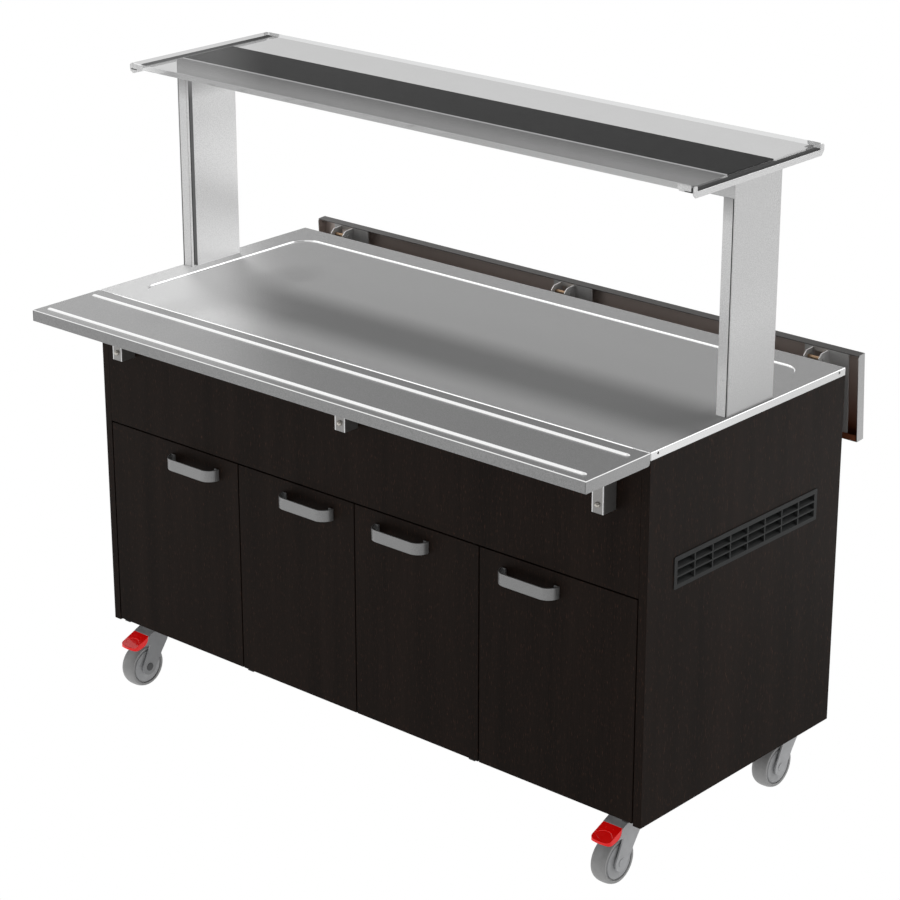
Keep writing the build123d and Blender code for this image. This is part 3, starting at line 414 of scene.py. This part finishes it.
moulded_skin, given, wanted = start_group(
    "moulded_skin",
    [("Position", "NodeSocketVector", None), ("Size", "NodeSocketFloat", DIMPLES)],
    [("Dimple", "NodeSocketFloat"), ("Mottle", "NodeSocketFloat")],
)
position = given.outputs["Position"]
cells = node(moulded_skin, "ShaderNodeTexVoronoi", {"feature": "SMOOTH_F1"}, Smoothness=0.6)
feed(moulded_skin, position, cells.inputs["Vector"])
feed(moulded_skin, given.outputs["Size"], cells.inputs["Scale"])
feed(moulded_skin, cells.outputs["Distance"], wanted.inputs["Dimple"])
feed(moulded_skin, noise(moulded_skin, position, MOTTLES, 3.0, 0.6), wanted.inputs["Mottle"])
print("moulded skin: spark-eroded dimples and a soft mottle")

# %% [markdown]
# The board's print runs upright. Three noises are drawn out along Z by different amounts: wide bands, fine
# fibres, and short pores that are cut out of the noise's highest values.

# %% Figure of the wood-look board
BANDS, BAND_SCALING = 24.0, (1.0, 1.0, 0.05)
FIBRES, FIBRE_SCALING = 460.0, (1.0, 1.0, 0.035)
PORES, PORE_SCALING = 520.0, (1.0, 1.0, 0.16)

wood_figure, given, wanted = start_group(
    "wood_figure",
    [("Position", "NodeSocketVector", None)],
    [("Band", "NodeSocketFloat"), ("Fibre", "NodeSocketFloat"), ("Pore", "NodeSocketFloat")],
)
tall, fine, short = (
    vector_calc(wood_figure, "MULTIPLY", given.outputs["Position"], scaling)
    for scaling in (BAND_SCALING, FIBRE_SCALING, PORE_SCALING)
)
feed(wood_figure, noise(wood_figure, tall, BANDS, 3.0, 0.55), wanted.inputs["Band"])
feed(wood_figure, noise(wood_figure, fine, FIBRES, 3.0, 0.7), wanted.inputs["Fibre"])
specks = noise(wood_figure, short, PORES, 1.0)
feed(wood_figure, spread(wood_figure, specks, 0.0, 1.0, 0.62, 0.78), wanted.inputs["Pore"])
print("wood figure: bands of 40 mm, fibres of 2 mm and short pores")

# %% [markdown]
# Slots, gaps, folds and pins sit at known places, so a mask of the position picks them out. It is 1 inside
# a box and 0 outside. Along each axis it rises over one limit and falls over the other, and the three
# axes are multiplied.

# %% Mask of a place
place_mask, given, wanted = start_group(
    "place_mask",
    [(label, "NodeSocketVector", None) for label in ("Position", "Low", "High", "Soft")],
    [("Mask", "NodeSocketFloat")],
)


def ramp(limit):
    """0 to 1 across a limit on each axis, over its soft edge to either side."""
    made = node(place_mask, "ShaderNodeMapRange", {"data_type": "FLOAT_VECTOR"})
    before = vector_calc(place_mask, "SUBTRACT", limit, given.outputs["Soft"])
    after = vector_calc(place_mask, "ADD", limit, given.outputs["Soft"])
    for value, socket in zip((given.outputs["Position"], before, after), made.inputs[6:9]):
        feed(place_mask, value, socket)
    return made.outputs[1]


over = ramp(given.outputs["Low"])
past = vector_calc(place_mask, "SUBTRACT", (1.0, 1.0, 1.0), ramp(given.outputs["High"]))
inside = node(place_mask, "ShaderNodeSeparateXYZ")
feed(place_mask, vector_calc(place_mask, "MULTIPLY", over, past), inside.inputs[0])
mask = calc(place_mask, "MULTIPLY", inside.outputs["X"], inside.outputs["Y"])
feed(place_mask, calc(place_mask, "MULTIPLY", mask, inside.outputs["Z"]), wanted.inputs["Mask"])
print("place mask: 1 inside a box with soft edges")

# %% [markdown]
# ## Finishes
# A finish is one Principled shader whose colour, roughness and bump come from the groups above. Numbers
# that are the same all over the surface are set straight on the shader. A starter makes the material and
# hands back the parts that each recipe goes on to use.

# %% A starter for finishes
def start_finish(name, **values):
    """A material with one Principled shader; values are the inputs that are the same all over."""
    material = bpy.data.materials.new(name)
    material.use_nodes = True
    tree = material.node_tree
    shader = tree.nodes["Principled BSDF"]
    for label, value in values.items():
        shader.inputs[label.replace("_", " ")].default_value = value
    position = node(tree, "ShaderNodeTexCoord").outputs["Object"]
    return material, tree, shader, position


def use_group(tree, group, position, **values):
    """Places a shared effect in a material and feeds it the position."""
    made = node(tree, "ShaderNodeGroup", {"node_tree": group}, **values)
    feed(tree, position, made.inputs["Position"])
    return made.outputs


def bump(tree, shader, height, strength, distance):
    """Lets a height pattern tilt the surface; distance is the real depth in metres."""
    made = node(tree, "ShaderNodeBump", Strength=strength, Distance=distance)
    feed(tree, height, made.inputs["Height"])
    feed(tree, made.outputs["Normal"], shader.inputs["Normal"])


def dress(material, *names):
    """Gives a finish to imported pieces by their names."""
    for name in names:
        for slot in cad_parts[name].material_slots:
            slot.material = material


print("finish helpers ready")

# %% [markdown]
# Two more helpers change a finish at one place. An overlay lays another colour there: the thing's own colour,
# or painted shade or painted light. A gleam paints a highlight: narrow places glow by themselves, with no
# lamp.

# %% Changes at one place
FAR = 10.0
SOFT = 0.0004


def region(tree, soft=SOFT, every=None, signed=False, **limits):
    """A mask of a place from limits on x, y and z, each with its own soft edge if a third number says so.
    x counts from the middle to both sides unless it is signed, or from the nearest of a row of repeats."""
    parts = node(tree, "ShaderNodeSeparateXYZ")
    feed(tree, node(tree, "ShaderNodeTexCoord").outputs["Object"], parts.inputs[0])
    along, deep, high = parts.outputs
    if every:
        along = calc(tree, "PINGPONG", along, every / 2)
    elif not signed:
        along = calc(tree, "ABSOLUTE", along)
    folded = node(tree, "ShaderNodeCombineXYZ")
    for value, socket in zip((along, deep, high), folded.inputs):
        feed(tree, value, socket)
    box = [(*limits.get(axis, (-FAR, FAR)), soft)[:3] for axis in "xyz"]
    low, high, edge = zip(*box)
    return use_group(tree, place_mask, folded.outputs[0], Low=low, High=high, Soft=edge)["Mask"]


def overlay(material, colour, **place):
    """Lays another colour over one place on a finish."""
    tree = material.node_tree
    socket = tree.nodes["Principled BSDF"].inputs["Base Color"]
    feed(tree, mix(tree, region(tree, **place), socket.links[0].from_socket, colour), socket)


def gleam(material, strength, *places):
    """Paints a highlight: narrow edges at some places glow by themselves, with no lamp."""
    tree = material.node_tree
    shader = tree.nodes["Principled BSDF"]
    mask = region(tree, **places[0])
    for place in places[1:]:
        mask = calc(tree, "MAXIMUM", region(tree, **place), mask)
    feed(tree, mix(tree, mask, BLACK, WHITE), shader.inputs["Emission Color"])
    shader.inputs["Emission Strength"].default_value = strength


print("overlays and gleams ready")

# %% [markdown]
# ### Satin stainless steel
# The worktop, slides and gantry are rolled sheet with a satin finish: no mirror images, a soft wide
# sheen, and grain that runs along the length of each part. One recipe makes them all from the way the
# strokes run, two greys and two roughnesses.

# %% Satin steel recipe
LONG = (60.0, 2400.0, 2400.0)
DEEP = (2400.0, 60.0, 2400.0)
UPRIGHT = (2400.0, 2400.0, 60.0)
STROKE_SHARE, CLOUD_SHARE = 0.3, 0.6
STROKE_STRENGTH, STROKE_DEPTH = 0.08, 0.00004


def satin_steel(name, stretch, dark, light, smooth, dull, metal=0.75):
    """Steel between two colours and two roughnesses, varied by strokes, specks and clouds."""
    material, tree, shader, position = start_finish(name, Metallic=metal)
    grain = use_group(tree, satin_grain, position, Stretch=stretch)
    texture = spread(tree, blend(tree, grain["Stroke"], STROKE_SHARE, grain["Speck"]), 0.0, 1.0, 0.32, 0.68)
    feed(tree, mix(tree, texture, dark, light), shader.inputs["Base Color"])
    sheen = blend(tree, grain["Cloud"], CLOUD_SHARE, grain["Stroke"])
    feed(tree, spread(tree, sheen, smooth, dull, 0.3, 0.7), shader.inputs["Roughness"])
    bump(tree, shader, grain["Stroke"], STROKE_STRENGTH, STROKE_DEPTH)
    return material


print("strokes, specks and clouds in one recipe")

# %% [markdown]
# Each upright has a slot down its inner face and a shadow gap before its cover plate, and both are painted
# dark as shade. The upright is painted darker under the shelf as shade, and near its foot the inner face
# glows a little, a painted sheen from the bright worktop. The cover plates are painted darker towards their
# foot as shade, the glass rails' ledge is painted dark as the shade under the glass, and the lamp housing is
# painted darker than the uprights, most at its top, as shade under the shelf.

# %% Gantry
POST_X = float(min(corner[0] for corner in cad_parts["gantry_post_right"].bound_box))
# The slot down the inner face, painted dark as shade.
POST_SLOT_SHADE = {"x": (0.73, 0.74), "y": (-0.0143, -0.0017)}
# The upright's top, painted darker as shade under the shelf.
POST_TOP_SHADE = {"z": (1.35, 1.5), "soft": 0.03}
# The inner face near its foot, where a painted sheen glows by itself.
POST_FOOT_SHEEN = {"x": (POST_X - 0.001, POST_X + 0.0005), "z": (0.5, 1.12, 0.15)}
# The covers' lower part, painted darker as shade near the worktop.
COVER_FOOT_SHADE = {"z": (0.5, 0.98), "soft": 0.14}
# The shadow gap, painted dark as shade on both the upright and its cover.
SHADOW_GAP = {"x": (0.7521, 0.7546)}
# The ledge under the glass, painted dark as the shade beneath the pane.
LEDGE_SHADE = {"x": (0.7375, 0.7566), "z": (1.4125, 1.4145)}
# The housing's top, painted darker as shade under the shelf; the housing's greys are darker for the same
# shade.
HOUSING_TOP_SHADE = {"z": (1.402, 1.5), "soft": 0.014}

post_steel = satin_steel("satin_steel_upright", UPRIGHT, grey(194), grey(230), 0.27, 0.33)
overlay(post_steel, shade(56, 56, 57), **POST_SLOT_SHADE)
overlay(post_steel, grey(150), **POST_TOP_SHADE)
overlay(post_steel, grey(30), **SHADOW_GAP)
gleam(post_steel, 0.25, POST_FOOT_SHEEN)
dress(post_steel, "gantry_post_left", "gantry_post_right")
cover_steel = satin_steel("cover_steel", UPRIGHT, grey(180), grey(214), 0.27, 0.33)
overlay(cover_steel, grey(150), **COVER_FOOT_SHADE)
overlay(cover_steel, grey(30), **SHADOW_GAP)
dress(cover_steel, "post_covers")
rail_steel = satin_steel("satin_steel_deep", DEEP, grey(194), grey(230), 0.27, 0.33)
overlay(rail_steel, shade(46, 46, 47), **LEDGE_SHADE)
dress(rail_steel, "glass_rails")
housing_steel = satin_steel("housing_steel", LONG, grey(172), grey(200), 0.27, 0.33)
overlay(housing_steel, grey(146), **HOUSING_TOP_SHADE)
dress(housing_steel, "lamp_housing")
print(f"satin steel on the gantry, whose inner faces are {2.0 * POST_X:.3f} m apart")

# %% [markdown]
# The worktop and the front slide are smoother, so they show the softbox. The recess's border, the runners
# and the folds along the edges glow by themselves as painted highlights, and the worktop's end faces are
# painted a flat grey for how the light falls on them.

# %% Worktop and front slide
TOP_Z, RECESS_Z = 0.938, 0.9355
EDGE_GLEAM = 0.6
FINE = 0.0003
SLIDE_Y = float(min(corner[1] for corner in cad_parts["tray_slide_front"].bound_box))
# The worktop's end faces, painted a flat grey for how light falls on them.
RIM = {"x": (0.7617, 0.77)}
# Places of painted highlights, which glow by themselves: the folds, the recess's border and the runners.
RIM_FOLD = {"x": (0.7605, 0.77), "z": (TOP_Z - 0.0016, TOP_Z - 0.0003), "soft": FINE}
RECESS_LEFT = {"x": (-0.72, -0.69), "z": (RECESS_Z + 0.0012, TOP_Z - 0.0006), "soft": FINE, "signed": True}
RECESS_REST = {"x": (-0.69, 0.72), "z": (RECESS_Z + 0.0004, TOP_Z - 0.0004), "soft": FINE, "signed": True}
RUNNERS = {"z": (TOP_Z + 0.0005, TOP_Z + 0.01)}
FRONT_FOLD = {"y": (SLIDE_Y - 0.0085, SLIDE_Y + 0.0016), "z": (TOP_Z - 0.0016, TOP_Z)}
END_FOLD = {"x": (0.7612, 0.77), "z": (TOP_Z - 0.0016, TOP_Z)}

top_steel = satin_steel("top_steel", LONG, grey(192), grey(240), 0.1, 0.13)
overlay(top_steel, grey(206), **RIM)
gleam(top_steel, EDGE_GLEAM, RECESS_REST, RECESS_LEFT, RIM_FOLD)
dress(top_steel, "worktop")
slide_steel = satin_steel("slide_steel", LONG, grey(134), grey(156), 0.13, 0.17, 0.5)
gleam(slide_steel, EDGE_GLEAM, RUNNERS, FRONT_FOLD, END_FOLD)
dress(slide_steel, "tray_slide_front")
print(f"smooth steel on the worktop and on the front slide, whose edge is at y = {SLIDE_Y:.4f}")

# %% [markdown]
# The handles are bent from flat strip and the cup round the controls is pressed, both duller than the top.
# The reflector above the lamps is polished to throw the heat down. The same recipe serves all three.

# %% Handles, control cup and reflector
handle_steel = satin_steel("handle_steel", LONG, grey(140), grey(156), 0.3, 0.38, 0.6)
dress(handle_steel, *[f"handle_{number}" for number in (1, 2, 3, 4)])
dress(satin_steel("cup_steel", LONG, grey(138), grey(158), 0.27, 0.33), "control_cup")
dress(satin_steel("reflector_sheet", LONG, grey(226), grey(238), 0.1, 0.18), "lamp_reflector")
print("satin steel on four handles, the control cup and the reflector")

# %% [markdown]
# The rear slide is folded, so its underside shows. The underside is duller, with less metal than the satin
# side, and its colour is painted: a warm pale grey that turns, towards the lower lip, into a painted brown
# reflection of the wooden cabinet, with painted dark shade along its highest strip. The slide leans a little,
# so its two sides are told apart by the distance along the direction that the top faces, measured on the
# mesh. The lip's outer face is satin too, and lies farthest along the slide.

# %% Underside of the rear slide
FOLD = math.radians(86.6)
RUNNER_H = 0.0034
CREST_H = 0.0036
END_X = 0.7616
BROWN_REFLECTION_Z = (0.78, 0.93)
UP = (0.0, 0.0, 1.0)

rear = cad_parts["tray_slide_rear"]
points = np.empty(3 * len(rear.data.vertices))
rear.data.vertices.foreach_get("co", points)
points = points.reshape(-1, 3)
facing = np.array((0.0, math.sin(FOLD), math.cos(FOLD)))
lipward = np.array((0.0, math.cos(FOLD), -math.sin(FOLD)))
sheet = float((points @ facing).max()) - RUNNER_H
lip = float((points @ lipward).max())
crest = float(points[:, 2].max())

rear_steel = satin_steel("rear_slide_steel", LONG, grey(150), grey(170), 0.27, 0.33)
tree = rear_steel.node_tree
shader = tree.nodes["Principled BSDF"]
place = node(tree, "ShaderNodeTexCoord").outputs["Object"]
outwards, along, level = (vector_calc(tree, "DOT_PRODUCT", place, way) for way in (facing, lipward, UP))
behind = spread(tree, outwards, 1.0, 0.0, sheet - 0.0012, sheet - 0.0006)
within = spread(tree, along, 1.0, 0.0, lip - 0.0008, lip - 0.0004)
under = calc(tree, "MULTIPLY", calc(tree, "MULTIPLY", behind, within), region(tree, x=(-FAR, END_X)))
# Painted colour of the underside: a painted brown reflection low down, pale grey higher up, and painted dark
# shade along the highest strip.
painted_underside = mix(tree, spread(tree, level, 0.0, 1.0, *BROWN_REFLECTION_Z), shade(142, 82, 55), shade(214, 199, 191))
painted_underside = mix(tree, region(tree, z=(crest - CREST_H, FAR)), painted_underside, shade(74, 73, 72))
satin = shader.inputs["Base Color"].links[0].from_socket
feed(tree, mix(tree, under, satin, painted_underside), shader.inputs["Base Color"])
feed(tree, spread(tree, under, 0.75, 0.2), shader.inputs["Metallic"])
dress(rear_steel, "tray_slide_rear")
print(f"the rear slide's top faces {facing.round(3)}, {sheet:.4f} m out")

# %% [markdown]
# ### Hinge steel
# Brackets and hinge plates are plated, pins and bolts are polished. The brackets are painted darker than the
# hinge plates as shade under the slide, and the two folds at a bracket's front are painted light as a
# highlight. The pin across each hinge is brass. The hinges
# repeat along the slide, so the mask of a place is repeated with them.

# %% Hinge steel finishes
HINGE_EVERY = 0.67
BRASS = shade(156, 128, 100)
# The two folds at each bracket's front, painted light as a highlight.
BRACKET_FOLD_HIGHLIGHT = {"x": (0.0118, 0.0145), "y": (-0.3085, -0.3055), "every": HINGE_EVERY}
REAR_PIN = {"x": (-FAR, 0.0171), "y": (0.4013, 0.4103), "z": (0.9265, 0.9355), "every": HINGE_EVERY}
FRONT_PIN = {"x": (-FAR, 0.0171), "y": (-0.2934, -0.2844), "z": (0.8898, 0.8988), "every": HINGE_EVERY}

# The brackets' darker grey is painted shade under the slide.
bracket_steel = satin_steel("bracket_steel", UPRIGHT, shade(142, 141, 140), shade(158, 157, 155), 0.3, 0.4)
overlay(bracket_steel, grey(236), **BRACKET_FOLD_HIGHLIGHT)
dress(bracket_steel, "slide_brackets")
hinge_steel = satin_steel("hinge_steel", UPRIGHT, shade(198, 197, 196), shade(214, 213, 212), 0.3, 0.4, 0.45)
for pin in (REAR_PIN, FRONT_PIN):
    overlay(hinge_steel, BRASS, **pin)
dress(hinge_steel, "slide_hinges_front", "slide_hinges_rear", "caster_stems")
polished = satin_steel("polished_pin", LONG, shade(205, 200, 192), shade(220, 216, 208), 0.12, 0.2)
dress(polished, "hinge_fasteners", "shelf_pins")
print("plated steel on the hinges, with brass cross pins")

# %% [markdown]
# ### Wood-look board
# The cabinet is faced with a dark laminate printed like wenge: nearly black, with faint upright bands,
# fine fibres and short reddish pores. A laminate's shine is low, so the specular level is turned down.

# %% Board finishes
FLECK_SHARE = 0.5


def dark_board(name, deep, warm, pore):
    """Dark laminate: bands and fibres mix two browns, and pores add short reddish flecks."""
    material, tree, shader, position = start_finish(name, Specular_IOR_Level=0.06)
    figure = use_group(tree, wood_figure, position)
    bands = blend(tree, figure["Band"], 0.5, figure["Fibre"])
    ground = mix(tree, spread(tree, bands, 0.0, 1.0, 0.32, 0.68), deep, warm)
    flecks = calc(tree, "MULTIPLY", figure["Pore"], FLECK_SHARE)
    feed(tree, mix(tree, flecks, ground, pore), shader.inputs["Base Color"])
    feed(tree, spread(tree, figure["Fibre"], 0.42, 0.56, 0.3, 0.7), shader.inputs["Roughness"])
    bump(tree, shader, figure["Fibre"], 0.1, 0.00006)
    return material


wenge = dark_board("wenge_laminate", shade(22, 16, 12), shade(40, 30, 25), shade(92, 62, 48))
dress(wenge, "side_panel_left", "side_panel_right", "back_panel", "fascia_panel")
dress(wenge, *[f"door_{number}" for number in (1, 2, 3, 4)])
inner = dark_board("inner_laminate", shade(56, 52, 49), shade(72, 66, 62), shade(90, 78, 70))
dress(inner, "deck_panel", "floor_panel", "partitions", "shelves")
print("laminate on the cabinet, a paler one inside")

# %% [markdown]
# ### Glass and lamps
# The shelf is a thick clear pane, a little smoky, with paler ground edges whose pale tone is partly painted
# light, and its front edge glows with a painted highlight. Light has to pass through it to
# reach the lid below, so shadow rays see it as clear. The lamps are quartz tubes.

# %% Clear finishes
# The pane's ground edges, painted paler, partly as painted light.
PANE_FRONT = {"y": (-0.154, -0.1522)}
PANE_BACK = {"y": (0.2622, 0.264)}
PANE_SHADOW = (0.97, 0.97, 0.97, 1.0)
GROUND_EDGE = (0.95, 0.96, 0.96, 1.0)


def clear_pane(name, colour, tinted, smear_low, smear_high, bend):
    """Clear glass with faint smears in its roughness, which lets lamplight straight through."""
    material, tree, shader, position = start_finish(name, Transmission_Weight=1.0, IOR=bend, Coat_Weight=0.15)
    smears = noise(tree, position, 16.0, 3.0, 0.6)
    feed(tree, mix(tree, smears, colour, tinted), shader.inputs["Base Color"])
    feed(tree, spread(tree, smears, smear_low, smear_high, 0.35, 0.75), shader.inputs["Roughness"])
    through = node(tree, "ShaderNodeBsdfTransparent", Color=PANE_SHADOW)
    shadow = node(tree, "ShaderNodeLightPath").outputs["Is Shadow Ray"]
    seen = choose(tree, shadow, shader.outputs[0], through.outputs[0])
    feed(tree, seen, tree.nodes["Material Output"].inputs["Surface"])
    return material


shelf_glass = clear_pane("shelf_glass", (0.62, 0.62, 0.62, 1.0), (0.66, 0.66, 0.66, 1.0), 0.0, 0.04, 1.03)
for edge in (PANE_FRONT, PANE_BACK):
    overlay(shelf_glass, GROUND_EDGE, **edge)
# A painted highlight: the front edge glows by itself.
gleam(shelf_glass, 0.22, PANE_FRONT)
dress(shelf_glass, "glass_shelf")
quartz = clear_pane("lamp_quartz", (0.96, 0.95, 0.93, 1.0), (0.9, 0.89, 0.88, 1.0), 0.02, 0.1, 1.45)
dress(quartz, "heat_lamps")
print("glass shelf and four quartz lamps")

# %% [markdown]
# ### Coated, moulded and pressed parts
# The rest are coatings and mouldings. They share one recipe: two close tones mixed by a mottle, a
# roughness that follows it, and the tiny dimples that a mould or a powder coat leaves.

# %% Moulded recipe
DIMPLE_STRENGTH, DIMPLE_DEPTH = 0.25, 0.00005


def moulded(name, dark, light, smooth, dull, size=DIMPLES, depth=DIMPLE_DEPTH, **values):
    """Plastic, rubber, powder coat or ceramic: a mottle in the colour and dimples in the surface."""
    material, tree, shader, position = start_finish(name, **values)
    skin = use_group(tree, moulded_skin, position, Size=size)
    tone = spread(tree, skin["Mottle"], 0.0, 1.0, 0.3, 0.7)
    feed(tree, mix(tree, tone, dark, light), shader.inputs["Base Color"])
    feed(tree, spread(tree, tone, smooth, dull), shader.inputs["Roughness"])
    bump(tree, shader, skin["Dimple"], DIMPLE_STRENGTH, depth)
    return material


print("mottle and dimples in one recipe")

# %% [markdown]
# The lid of the lamp housing is painted dark grey as the shade it lies in under the glass shelf, and its
# front edge glows with a painted highlight. The vents and the controls are
# black plastic, and the knob has a white line that shows where it points.

# %% Lid, vents and controls
# The lid's front edge, where a painted highlight glows.
LID_FRONT = {"y": (-0.03, -0.0192)}
POINTER = {"y": (0.1492, 0.1508), "z": (0.802, 0.8122)}

# The lid's dark grey is painted shade under the glass shelf.
lid = moulded("lid_shade_grey", grey(58), grey(68), 0.6, 0.7, Specular_IOR_Level=0.02)
gleam(lid, EDGE_GLEAM, LID_FRONT)
dress(lid, "housing_lid")
vent = moulded("black_plastic", shade(48, 49, 49), shade(58, 59, 59), 0.5, 0.6, Specular_IOR_Level=0.15)
dress(vent, "vent_grilles")
control = moulded("control_plastic", shade(26, 26, 27), shade(34, 34, 35), 0.38, 0.5)
dress(control, "thermostat", "switch_housing", "power_rocker", "mains_inlet")
knob = moulded("knob_plastic", shade(26, 26, 27), shade(34, 34, 35), 0.38, 0.5)
overlay(knob, shade(232, 232, 228), **POINTER)
dress(knob, "thermostat_knob")
# The lid's colour above is painted shade for where it lies under the glass.
print("powder coat on the lid, black plastic on the vents and controls")

# %% [markdown]
# Casters are grey all over, forks and hubs a little paler than the tyres, and the inner half of each fork is
# painted dark as shade under the cabinet. The pedals are glossy red plastic, and their red is also fed in as
# a glow, painted light that brightens them. It would tint the tyres next
# to it, so bounced light doesn't see the pedals.

# %% Casters
# The inner half of each fork, painted dark as shade under the cabinet.
FORK_INSIDE_SHADE = {"x": (0.6, 0.66145)}
PEDAL_PAINTED_GLOW = 0.2

fork = moulded("fork_grey", shade(194, 195, 197), shade(206, 207, 209), 0.28, 0.38)
overlay(fork, shade(84, 85, 87), **FORK_INSIDE_SHADE)
hub = moulded("hub_grey", shade(180, 181, 183), shade(194, 195, 196), 0.28, 0.38)
tyre = moulded("tyre_grey", grey(172), grey(184), 0.4, 0.5)
for corner in ("front_left", "front_right", "rear_left", "rear_right"):
    dress(fork, f"fork_{corner}")
    dress(hub, f"hub_{corner}")
    dress(tyre, f"tyre_{corner}")
pedal = moulded("pedal_red", shade(252, 8, 8), shade(255, 18, 16), 0.08, 0.14)
shader = pedal.node_tree.nodes["Principled BSDF"]
red = shader.inputs["Base Color"].links[0].from_socket
# Painted light: the pedals' own red is fed in as a glow.
feed(pedal.node_tree, red, shader.inputs["Emission Color"])
shader.inputs["Emission Strength"].default_value = PEDAL_PAINTED_GLOW
for name in ("brake_pedal_front_left", "brake_pedal_front_right"):
    dress(pedal, name)
    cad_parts[name].visible_diffuse = False
    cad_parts[name].visible_glossy = False
print("grey casters with red brake pedals")

# %% [markdown]
# The frame under the floor is painted, and the plates that carry the doors are blackened. Inside are the
# lamps' ceramic sockets, the copper-coloured heater mat and the mineral board that keeps its heat in, with
# coarser dimples because it is pressed from fibres.

# %% Frame and inner parts
dress(moulded("frame_paint", shade(72, 73, 75), shade(82, 83, 85), 0.45, 0.58), "base_frame")
dress(moulded("black_oxide", shade(34, 34, 36), shade(44, 44, 46), 0.4, 0.55), "door_pivot_plates")
dress(moulded("lamp_ceramic", shade(226, 222, 212), shade(236, 233, 225), 0.3, 0.4), "lamp_holders")
dress(moulded("heater_foil", shade(168, 78, 48), shade(184, 92, 58), 0.55, 0.7), "heater_mat")
mineral = moulded("mineral_board", shade(206, 200, 184), shade(222, 217, 204), 0.8, 0.95, 900.0, 0.0004)
dress(mineral, "insulation_board")
print("paint, oxide, ceramic, foil and mineral board inside")

# %% [markdown]
# ## Wire coils in the lamps
# Each lamp holds a coil of tungsten wire with a straight lead at both ends. A coil is a tube swept along a
# helix: walk along the helix, and at every step draw a small circle across the wire. Both walks are rows
# and columns of one array, so numpy works out every point of a coil at once.

# %% A round wire along a path
SIDES = 7


def tube_mesh(name, path, across, radius):
    """A round wire with a flat cap at each end: path + radius * (cos u * n + sin u * b) for u round the wire.
    n is the across direction made square to the path, and b is square to both."""
    along = np.gradient(path, axis=0)
    along /= np.linalg.norm(along, axis=1, keepdims=True)
    n = across - along * np.sum(across * along, axis=1, keepdims=True)
    n /= np.linalg.norm(n, axis=1, keepdims=True)
    b = np.cross(along, n)
    u = np.linspace(0.0, 2.0 * np.pi, SIDES + 1)[:-1, None]
    rings = path[:, None] + radius * (np.cos(u) * n[:, None] + np.sin(u) * b[:, None])
    here = np.arange(len(path) * SIDES).reshape(-1, SIDES)
    near, after = here[:-1], here[1:]
    quads = np.stack((near, np.roll(near, -1, 1), np.roll(after, -1, 1), after), axis=-1).reshape(-1, 4)
    caps = [here[0, ::-1].tolist(), here[-1].tolist()]
    mesh = bpy.data.meshes.new(name)
    mesh.from_pydata(rings.reshape(-1, 3).tolist(), [], quads.tolist() + caps)
    mesh.polygons.foreach_set("use_smooth", np.arange(len(mesh.polygons)) < len(quads))
    return mesh


print(f"wires have {SIDES} sides")

# %% [markdown]
# The helix has a radius that swells smoothly from nothing at each end, so the leads run straight along the
# lamp's axis. The coil is worked out once and moved along X to each lamp.

# %% Filament coils
LAMP_X = (-0.525, -0.175, 0.175, 0.525)
LAMP_Y, LAMP_Z = 0.05502, 1.388
COIL_L, COIL_R, WIRE_R = 0.264, 0.0028, 0.0004
TURNS, STEPS = 56, 14
LEAD_SHARE = 0.05

share = np.linspace(0.0, 1.0, TURNS * STEPS + 1)
turn = 2.0 * np.pi * TURNS * share
swell = np.clip(np.minimum(share, 1.0 - share) / LEAD_SHARE, 0.0, 1.0)
swell = COIL_R * swell**2 * (3.0 - 2.0 * swell)
outward = np.column_stack((np.zeros_like(turn), np.cos(turn), np.sin(turn)))
axis = np.column_stack((COIL_L * (share - 0.5), np.full_like(turn, LAMP_Y), np.full_like(turn, LAMP_Z)))
helix = axis + swell[:, None] * outward
tungsten = satin_steel("tungsten", UPRIGHT, shade(112, 110, 108), shade(140, 137, 133), 0.35, 0.45)
for number, middle in enumerate(LAMP_X, 1):
    wire = tube_mesh(f"filament_{number}", helix + (middle, 0.0, 0.0), outward, WIRE_R)
    wire.materials.append(tungsten)
    filament = bpy.data.objects.new(wire.name, wire)
    scene.collection.objects.link(filament)
    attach(filament, "cabinet")
    print(filament.name, "has", len(wire.vertices), "points")
